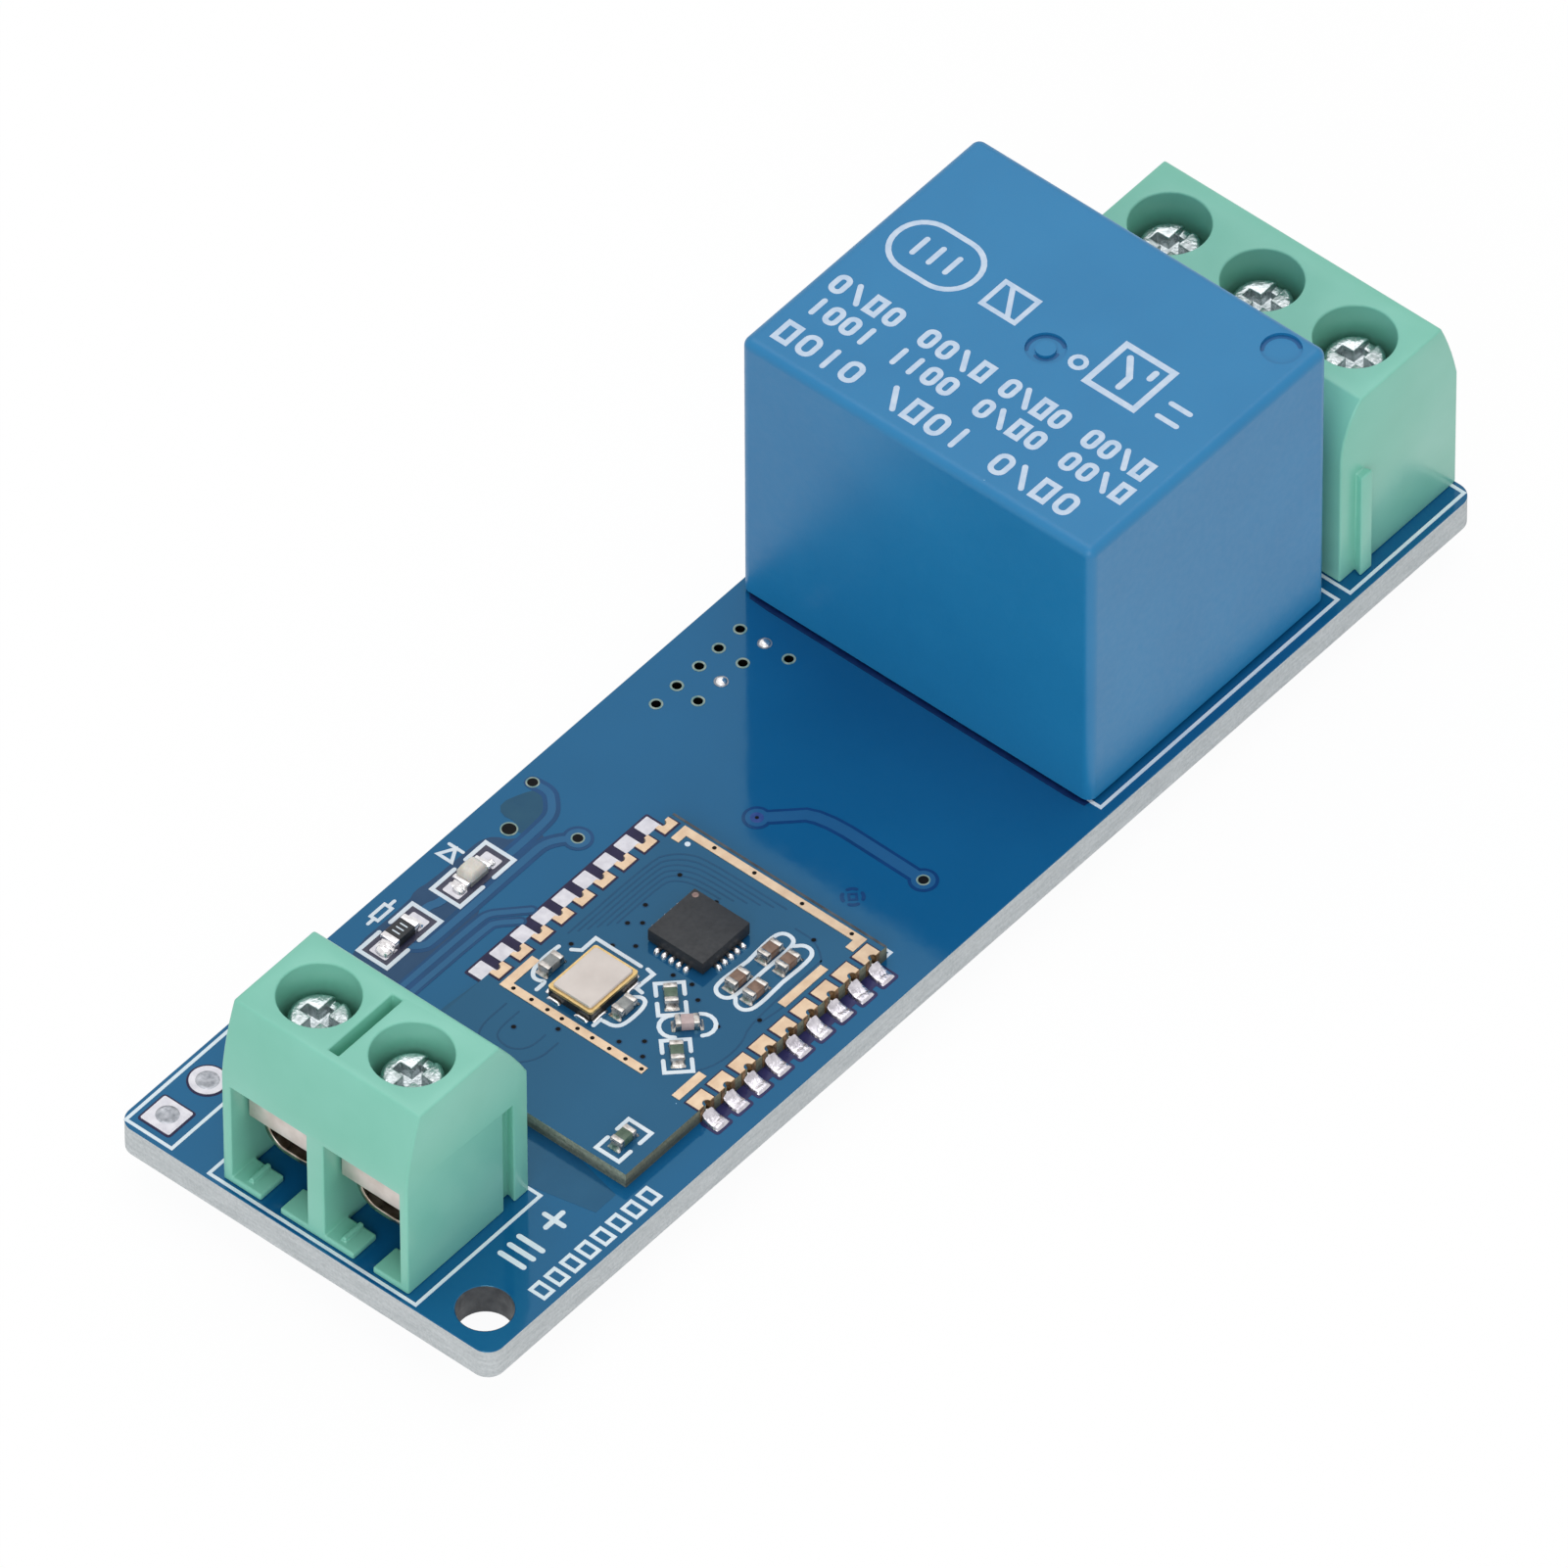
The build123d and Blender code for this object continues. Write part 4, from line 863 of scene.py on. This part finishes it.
def radio_ink():
    bm = bmesh.new()

    def line(points):
        ink_line(bm, points, width=0.19, base=RADIO_TOP)

    def curve(points):
        line(softened(points, 2))

    # Crystal outline, open at two corners
    line([(18.95, 11.78), (19.2, 11.42), (20.1, 11.42), (20.1, 8.95)])
    line([(20.16, 8.62), (20.1, 8.25), (19.05, 8.3), (19.0, 7.95)])
    # The two load capacitors
    curve([(18.75, 12.3), (18.0, 12.36), (17.2, 12.32), (16.75, 12.05), (16.72, 11.7), (16.92, 11.42),
           (16.3, 11.42)])
    curve([(18.55, 8.1), (18.85, 7.75), (18.6, 7.35), (17.2, 7.32), (16.8, 7.6), (16.75, 8.15)])
    line([(16.3, 8.3), (16.75, 8.3)])
    # Four brown capacitors
    curve([(23.2, 5.72), (24.9, 5.84), (25.42, 5.62), (25.42, 5.05), (25.0, 4.83), (23.25, 4.86)])
    curve([(25.1, 4.78), (25.42, 4.5), (25.42, 4.05), (25.0, 3.78), (23.25, 3.84)])
    curve([(23.2, 5.72), (21.4, 5.9), (20.97, 5.6), (20.97, 5.1), (21.35, 4.83), (23.2, 4.86)])
    curve([(21.3, 4.78), (20.97, 4.5), (20.97, 4.05), (21.4, 3.76), (23.2, 3.84)])
    # The two greenish parts across the corner and the one near the aerial
    for x, y, angle, gap, reach, half in ((19.52, 6.8, 45, 0.22, 0.9, 0.6), (17.24, 4.52, 45, 0.22, 0.9, 0.6),
                                          (12.22, 3.15, 0, 0.3, 1.04, 0.62)):
        for side in (-1, 1):
            hook = [(side * gap, -half), (side * reach, -half), (side * reach, half), (side * gap, half)]
            line(turned(hook, x, y, angle))
    # The pinkish coil's round-ended outline
    for side in (-1, 1):
        hook = [(side * 0.5, -0.62)] + circle(side * 0.58, 0, 0.62, 8, -90 * side if side > 0 else 90, 180)
        line(turned(hook[1:], 18.82, 5.3, -45))
    new_piece("radio_ink", bm, "ink")


LEAD_PITCH = 0.4


def chip():
    bm = bmesh.new()
    low, high = node_box("radio_chip")
    slab(bm, low, high, 0.05)
    top, foot = high.z + 0.004, high.z - 0.02
    profile = [(0.0, top), (0.13, top), (0.15, high.z), (0.15, foot), (0.0, foot)]
    spin(bm, profile, high.x - 0.28, high.y - 0.28, 20, 1)
    new_piece("chip_package", bm, ["black", "dot"], hides=["radio_chip"])
    bm = bmesh.new()
    middle = (low + high) / 2
    half = (high.x - low.x) / 2
    for side in range(4):
        turn = Matrix.Translation((middle.x, middle.y, 0)) @ Matrix.Rotation(side * math.pi / 2, 4, "Z")
        for index in range(5):
            centre = (LEAD_PITCH * (index - 2), half + 0.17)
            mound(bm, centre, 0.14, 0.24, RADIO_TOP, dome(0.2, 0.03, 2.0), turn, roundness=0.9, steps=8)
    new_piece("chip_solder", bm, "bright", hides=["radio_chip_leads"])


def crystal():
    low, high = node_box("crystal_lid")
    bm = bmesh.new()
    outline = inset(low, high, 0, 0, 0.16, 5)
    inner = inset(low, high, 0.04, 0.04, 0.14, 5)
    skin(bm, [raised(outline, low.z), raised(outline, high.z - 0.05), raised(inner, high.z)])
    new_piece("crystal_cap", bm, "lid", hides=["crystal_lid"])
    bm = bmesh.new()
    low, high = node_box("crystal_base")
    for x in (low.x + 0.5, high.x - 0.5):
        for y in (low.y - 0.08, high.y + 0.08):
            mound(bm, (x, y), 0.45, 0.1, RADIO_TOP, dome(0.1), steps=8)
    for y in (low.y + 0.45, high.y - 0.45):
        for x in (low.x - 0.09, high.x + 0.09):
            mound(bm, (x, y), 0.11, 0.35, RADIO_TOP, dome(0.12), steps=8)
    new_piece("crystal_solder", bm, "bright")


# Length, width, height and length of one tinned end
SMALL = (1.04, 0.6, 0.48, 0.27)
INDICATOR = (1.6, 0.85, 0.35, 0.25)
RESISTOR = (1.6, 0.85, 0.5, 0.32)
# Node: its look, its piece and where the parts sit
CHIP_SETS = {
    "decoupling_capacitors": ("tan", "decoupling_ceramics",
                              [(22.02, 4.3, 0), (22.02, 5.28, 0), (24.12, 4.3, 0), (24.12, 5.28, 0)]),
    "crystal_capacitors": ("grey", "crystal_ceramics", [(17.67, 11.8, 0), (17.82, 7.9, 0)]),
    "matching_chips": ("green", "matching_ceramics", [(19.52, 6.8, 45), (17.24, 4.52, 45), (12.2, 3.15, 0)]),
    "matching_coil": ("pink", "matching_ceramic", [(18.82, 5.3, -45)]),
}


def turn_at(x, y, angle, base):
    return Matrix.Translation((x, y, base)) @ Matrix.Rotation(math.radians(angle), 4, "Z")


def chip_ends(bm, x, y, angle, size, base, reach=0.16):
    """Tinned ends with solder drawn up against them."""
    length, width, height, cap = size
    turn = turn_at(x, y, angle, base)
    for side in (-1, 1):
        left, right = sorted((side * (length / 2 - cap), side * length / 2))
        slab(bm, (left, -width / 2, 0.0), (right, width / 2, height), 0.05, turn)

        def slope(u, v):
            out = (1 + side * u) / 2
            flank = max(0.0, 1 - abs(v) ** 4) ** 0.5
            return 0.02 + 0.72 * height * math.exp(-2.6 * out) * flank * max(0.0, 1 - out ** 5) ** 0.5

        centre = (side * (length / 2 + reach / 2), 0.0)
        mound(bm, centre, reach / 2 + 0.01, width / 2 + 0.03, 0.0, slope, turn, roundness=0.4, steps=7)


def small_parts():
    ends = bmesh.new()
    length, width, height, cap = SMALL
    half, side = length / 2 - cap + 0.03, width / 2 - 0.02
    for node, (look, piece, places) in CHIP_SETS.items():
        bm = bmesh.new()
        for x, y, angle in places:
            turn = turn_at(x, y, angle, RADIO_TOP)
            slab(bm, (-half, -side, 0.02), (half, side, height - 0.015), 0.03, turn)
            chip_ends(ends, x, y, angle, SMALL, RADIO_TOP)
        new_piece(piece, bm, look, hides=[node])
    new_piece("radio_chip_solder", ends, "chip_end", hides=["radio_chip_ends"])


lands()
radio_pads()
radio_joints()
radio_marks()
radio_ink()
chip()
crystal()
small_parts()


# Indicator and resistor

def blob(bm, x, y, half_x, half_y, rise):
    """A lump of bright solder with a crease across it."""
    def height(u, v):
        return dome(rise, 0.04, 2.4)(u, v) * (1 - 0.35 * math.exp(-30 * (u + 0.3 * v - 0.15) ** 2))
    mound(bm, (x, y), half_x, half_y, 0.0, height, roundness=0.7, steps=12)


INDICATOR_Y = 18.17
RESISTOR_Y = 18.23


def soldered(part, x, y, size, reach, near, far, pads, blobs):
    """Pads, tinned ends and lumps of solder."""
    bm = bmesh.new()
    for x0, x1 in pads:
        prism(bm, rounded_rectangle(x0, x1, y - near, y + far, 0.08), 0.0, PAD, 1)
    chip_ends(bm, x, y, 0, size, 0.0, reach)
    for blob_x, down, *sizes in blobs:
        blob(bm, blob_x, y - down, *sizes)
    new_piece(f"{part}_solder", bm, ["bright", "silver"], hides=[f"{part}_ends"])


def indicator():
    blobs = [(18.98, 0.16, 0.24, 0.3, 0.26), (20.98, 0.2, 0.17, 0.2, 0.22)]
    pads = [(18.55, 19.2), (20.8, 21.42)]
    soldered("indicator", 20.0, INDICATOR_Y, INDICATOR, 0.3, 0.48, 0.42, pads, blobs)
    bm = bmesh.new()
    low, high = node_box("indicator_lens")
    wide = inset(low, high, 0, 0, 0.12)
    narrow = inset(low, high, 0.16, 0.06, 0.14)
    small = inset(low, high, 0.24, 0.14, 0.14)
    rings = [(wide, low.z), (wide, low.z + 0.22), (narrow, high.z - 0.03), (small, high.z)]
    skin(bm, [raised(outline, height) for outline, height in rings])
    new_piece("indicator_dome", bm, "lens", hides=["indicator_lens"], sharp=60)


def resistor():
    y = RESISTOR_Y
    pads = [(13.98, 14.8), (16.1, 16.85)]
    soldered("resistor", 15.45, y, RESISTOR, 0.42, 0.46, 0.46, pads, [(14.4, 0.08, 0.38, 0.4, 0.3)])
    bm = bmesh.new()
    low, high = node_box("resistor_body")
    slab(bm, low, high, 0.03)
    new_piece("resistor_block", bm, "black", hides=["resistor_body"])
    bm = bmesh.new()
    for x in (15.2, 15.45, 15.7):
        ribbon(bm, [(x, y - 0.18), (x, y + 0.18)], 0.07, high.z - 0.003, high.z + 0.006, cap_steps=3)
    new_piece("resistor_bars", bm, "ink")


indicator()
resistor()


# Terminals, clamps and relay

THREAD_PITCH = 0.45
THREAD_DEPTH = 0.13
THREAD_SIDES = 20
THREAD_STEP = 0.085


def clamp_bolt(number):
    """The screw's head as the CAD has it, over a shank cut with a thread."""
    node = f"clamp_screw_{number}"
    low, high = node_box(node)
    x, y = (low.x + high.x) / 2, (low.y + high.y) / 2
    bm = refined(node, 0.06, 40, 2)
    reach = {vert: math.hypot(vert.co.x - x, vert.co.y - y) for vert in bm.verts}
    radius = max(far for vert, far in reach.items() if vert.co.z < low.z + 0.3)
    underside = min(vert.co.z for vert, far in reach.items() if far > radius + 0.15)
    parts = bm.verts[:] + bm.edges[:] + bm.faces[:]
    plane = {"plane_co": (0, 0, underside + 0.1), "plane_no": (0, 0, 1)}
    cut = bmesh.ops.bisect_plane(bm, geom=parts, clear_inner=True, **plane)["geom_cut"]
    bmesh.ops.edgenet_fill(bm, edges=[part for part in cut if isinstance(part, bmesh.types.BMEdge)])
    length = underside + 0.15 - low.z
    rows = round(length / THREAD_STEP)
    loops = []
    for row in range(rows + 1):
        height = low.z + length * row / rows
        loop = []
        for step in range(THREAD_SIDES):
            turn = (height / THREAD_PITCH - step / THREAD_SIDES) % 1
            inside = 0.0 if height > underside - 0.1 else THREAD_DEPTH * (1 - abs(2 * turn - 1))
            taper = 0.12 * max(0.0, 1 - (height - low.z) / 0.2)
            far = radius - 0.01 - inside - taper
            angle = math.tau * step / THREAD_SIDES
            loop.append((x + far * math.cos(angle), y + far * math.sin(angle), height))
        loops.append(loop)
    skin(bm, loops)
    new_piece(f"clamp_bolt_{number}", bm, "zinc", f"screw_{number}", [node])


def rounded(node, name, rounding, look, body="root"):
    """A CAD node in its own form with rounded edges."""
    new_piece(name, refined(node, *rounding), look, body, [node])


for end in ("input", "output"):
    rounded(f"{end}_terminal_housing", f"{end}_terminal_moulding", (0.1, 30, 3), "terminal")
for number in range(1, 6):
    rounded(f"clamp_frame_{number}", f"clamp_loop_{number}", (0.04, 40, 2), "steel")
    rounded(f"clamp_plate_{number}", f"clamp_lip_{number}", (0.07, 40, 3), "tin",
            f"plate_{number}")
    clamp_bolt(number)

# The CAD nodes that stay, by look
CAD_LOOKS = {
    "relay": "relay_cover relay_base",
    "nickel": "relay_yoke relay_core relay_armature",
    "bobbin": "relay_bobbin",
    "copper": "relay_coil",
    "contact": "relay_open_contact relay_closed_contact relay_contact_spring relay_moving_contact",
    "tin": "relay_coil_pins relay_common_pin package_legs",
    "solder": "under_chip_ends terminal_solder_joints relay_solder_joints",
    "black": "regulator_body transistor_body diode_body under_resistors",
    "tan": "under_capacitors",
    "grey": "indicator_base",
    "gold": "radio_ground_strips",
    "radio_mask": "radio_board",
    "crystal_side": "crystal_base",
}
for look, nodes in CAD_LOOKS.items():
    for node in nodes.split():
        materials = frame["nodes"][node].data.materials
        materials.clear()
        materials.append(LOOKS[look])


MARKS = "bar ring bar slash ring ring bar square ring bar ring slash ring bar square ring bar ring".split()


def relay_print():
    """Rows of plain marks, rings and contact symbols where the relay carries its print."""
    low, high = node_box("relay_cover")
    bm = bmesh.new()

    def line(points, closed=False, width=0.26):
        ribbon(bm, points, width, high.z - 0.004, high.z + 0.012 + 0.001 * (len(bm.verts) % 5), closed)

    def mark(kind, x0, x1, y, half):
        if kind == "bar":
            line([(x0, y), (x1, y)])
        elif kind == "slash":
            line([(x0, y - half), (x1, y + half)])
        elif kind == "square":
            line(rectangle(x0, x1, y - half, y + half), True)
        else:
            line(rounded_rectangle(x0, x1, y - half, y + half, half * 0.95, 5), True)

    rows = [(40.72, 41.78, 1.2, [(18.8, 2.4)]), (42.78, 43.66, 0.93, [(18.8, 10.8), (9.7, 2.2)]),
            (44.34, 45.26, 0.93, [(18.9, 11.1), (9.6, 2.4)])]
    for x0, x1, pitch, spans in rows:
        for first, last in spans:
            count = round((first - last) / pitch)
            for index in range(count + 1):
                y = first - (first - last) * index / count
                if index % 5 != 4:
                    mark(MARKS[(index * 3 + count) % len(MARKS)], x0, x1, y, pitch * 0.27)
    # Lozenge ring, coil symbol, small ring and changeover contact symbol
    line(rounded_rectangle(47.15, 50.15, 14.75, 19.05, 1.45, 8), True)
    for y in (16.0, 16.9, 17.8):
        line([(48.15, y), (49.15, y)])
    line(rectangle(47.8, 49.4, 11.9, 13.7), True, 0.24)
    line([(47.8, 12.3), (49.4, 13.3)], width=0.24)
    line(circle(47.8, 8.4, 0.34, 16), True, 0.22)
    line(rectangle(47.2, 49.9, 4.9, 7.5), True, 0.3)
    line([(47.8, 6.2), (48.5, 6.2), (49.4, 6.9)], width=0.3)
    line([(49.0, 5.5), (49.4, 5.5)], width=0.3)
    for x in (47.6, 48.5):
        line([(x, 3.9), (x, 2.9)], width=0.26)
    new_piece("relay_print", bm, "relay_ink")


def relay_shadows():
    """Painted shadow in a dark strip on the board along the cover's near edge, and painted shade on the steep
    sides of its two moulding marks.
    """
    low, high = node_box("relay_cover")
    bm = bmesh.new()
    # Painted shadow: a dark strip on the board, partly under the cover, along its near edge.
    outline = [(low.x + 0.4, low.y + 0.1), (low.x - 0.12, low.y + 0.2), (low.x - 0.2, low.y + 1.2),
               (low.x - 0.2, high.y - 1.6), (low.x - 0.14, high.y - 0.6), (low.x + 0.4, high.y - 0.1)]
    prism(bm, outline[::-1], 0.0, RING_TOP + 0.006)
    new_piece("relay_foot_painted_shadow", bm, "deep")
    bm = bmesh.new()
    gate = ((low.x + high.x) / 2 + 0.1, (low.y + high.y) / 2 - 0.55)
    vent = (high.x - 1.3, low.y + 1.5)
    radius = 0.9
    # Painted shade: darker arcs on the far walls of both marks and on the near side of the gate's boss.
    for x, y in (gate, vent):
        ribbon(bm, circle(x, y, radius - 0.09, 20, -35, 160), 0.18, high.z - 0.2, high.z - 0.142)
    ribbon(bm, circle(*gate, radius - 0.36, 20, 165, 120), 0.16, high.z - 0.2, high.z - 0.142)
    new_piece("relay_mark_painted_shade", bm, "relay_shade")


relay_print()
relay_shadows()


# Camera, light and floor

RIGHT = Vector((0.64715928, -0.76234944, -0.00286323))
DOWN = Vector((-0.56343641, -0.47576505, -0.67541619))
CAMERA_PLACE = Vector((-0.738402, -0.629856, 1.064402))


def camera():
    data = bpy.data.cameras.new("camera")
    data.lens = 786.4
    data.clip_start = 0.05
    data.clip_end = 50.0
    made = put("camera", data)
    back = -RIGHT.cross(DOWN)
    axes = Matrix((RIGHT, -DOWN, back)).transposed().to_4x4()
    made.matrix_world = Matrix.Translation(CAMERA_PLACE) @ axes
    bpy.context.scene.camera = made


def lamp(name, place_at, target, size, level):
    """A soft square lamp that lights the target to a level of its own."""
    data = bpy.data.lights.new(name, "AREA")
    data.shape = "SQUARE"
    data.size = size
    direction = Vector(target) - Vector(place_at)
    data.energy = level * math.pi ** 2 * direction.length ** 2
    made = put(name, data)
    made.matrix_world = Matrix.Translation(place_at) @ direction.to_track_quat("-Z", "Y").to_matrix().to_4x4()


def seen_rays(tree):
    """1 for rays from the camera, mirrors and glass, 0 for the light that falls on things."""
    path = add(tree, "ShaderNodeLightPath", {})
    seen = maths(tree, "MAXIMUM", path.outputs["Is Camera Ray"], path.outputs["Is Glossy Ray"])
    return maths(tree, "MAXIMUM", seen, path.outputs["Is Transmission Ray"])


def world():
    made = bpy.data.worlds.new("studio")
    made.use_nodes = True
    tree = made.node_tree
    strength = between(tree, seen_rays(tree), 0.5, 1.0, 0.0, 1.0)
    feed(tree, tree.nodes["Background"], {"Color": (1.0, 1.0, 1.0, 1.0), "Strength": strength})
    bpy.context.scene.world = made


def floor():
    bm = bmesh.new()
    bmesh.ops.create_grid(bm, x_segments=1, y_segments=1, size=1.5)
    made = put("floor", mesh_of("floor", bm))
    material, tree, paint = new_material("pale_floor", {"Roughness": 0.9, "Specular IOR Level": 0.0})
    grain = mix(tree, noise(tree, 40.0), srgb(236, 236, 236), srgb(242, 242, 242))
    feed(tree, paint, {"Base Color": grain})
    glow = add(tree, "ShaderNodeEmission", {"Strength": 1.015})
    share = maths(tree, "MULTIPLY", seen_rays(tree), 0.94)
    both = add(tree, "ShaderNodeMixShader", {0: share, 1: paint.outputs[0], 2: glow.outputs[0]})
    feed(tree, tree.nodes["Material Output"], {"Surface": both.outputs[0]})
    made.data.materials.append(material)


camera()
lamp("overhead", (0.1, 0.1, 0.8), (0.0, 0.0, 0.0), 0.8, 0.35)
lamp("key", (-0.75, -0.45, 0.45), (0.0, 0.0, 0.01), 0.6, 0.3)
world()
floor()
bpy.context.scene.view_settings.view_transform = "Standard"
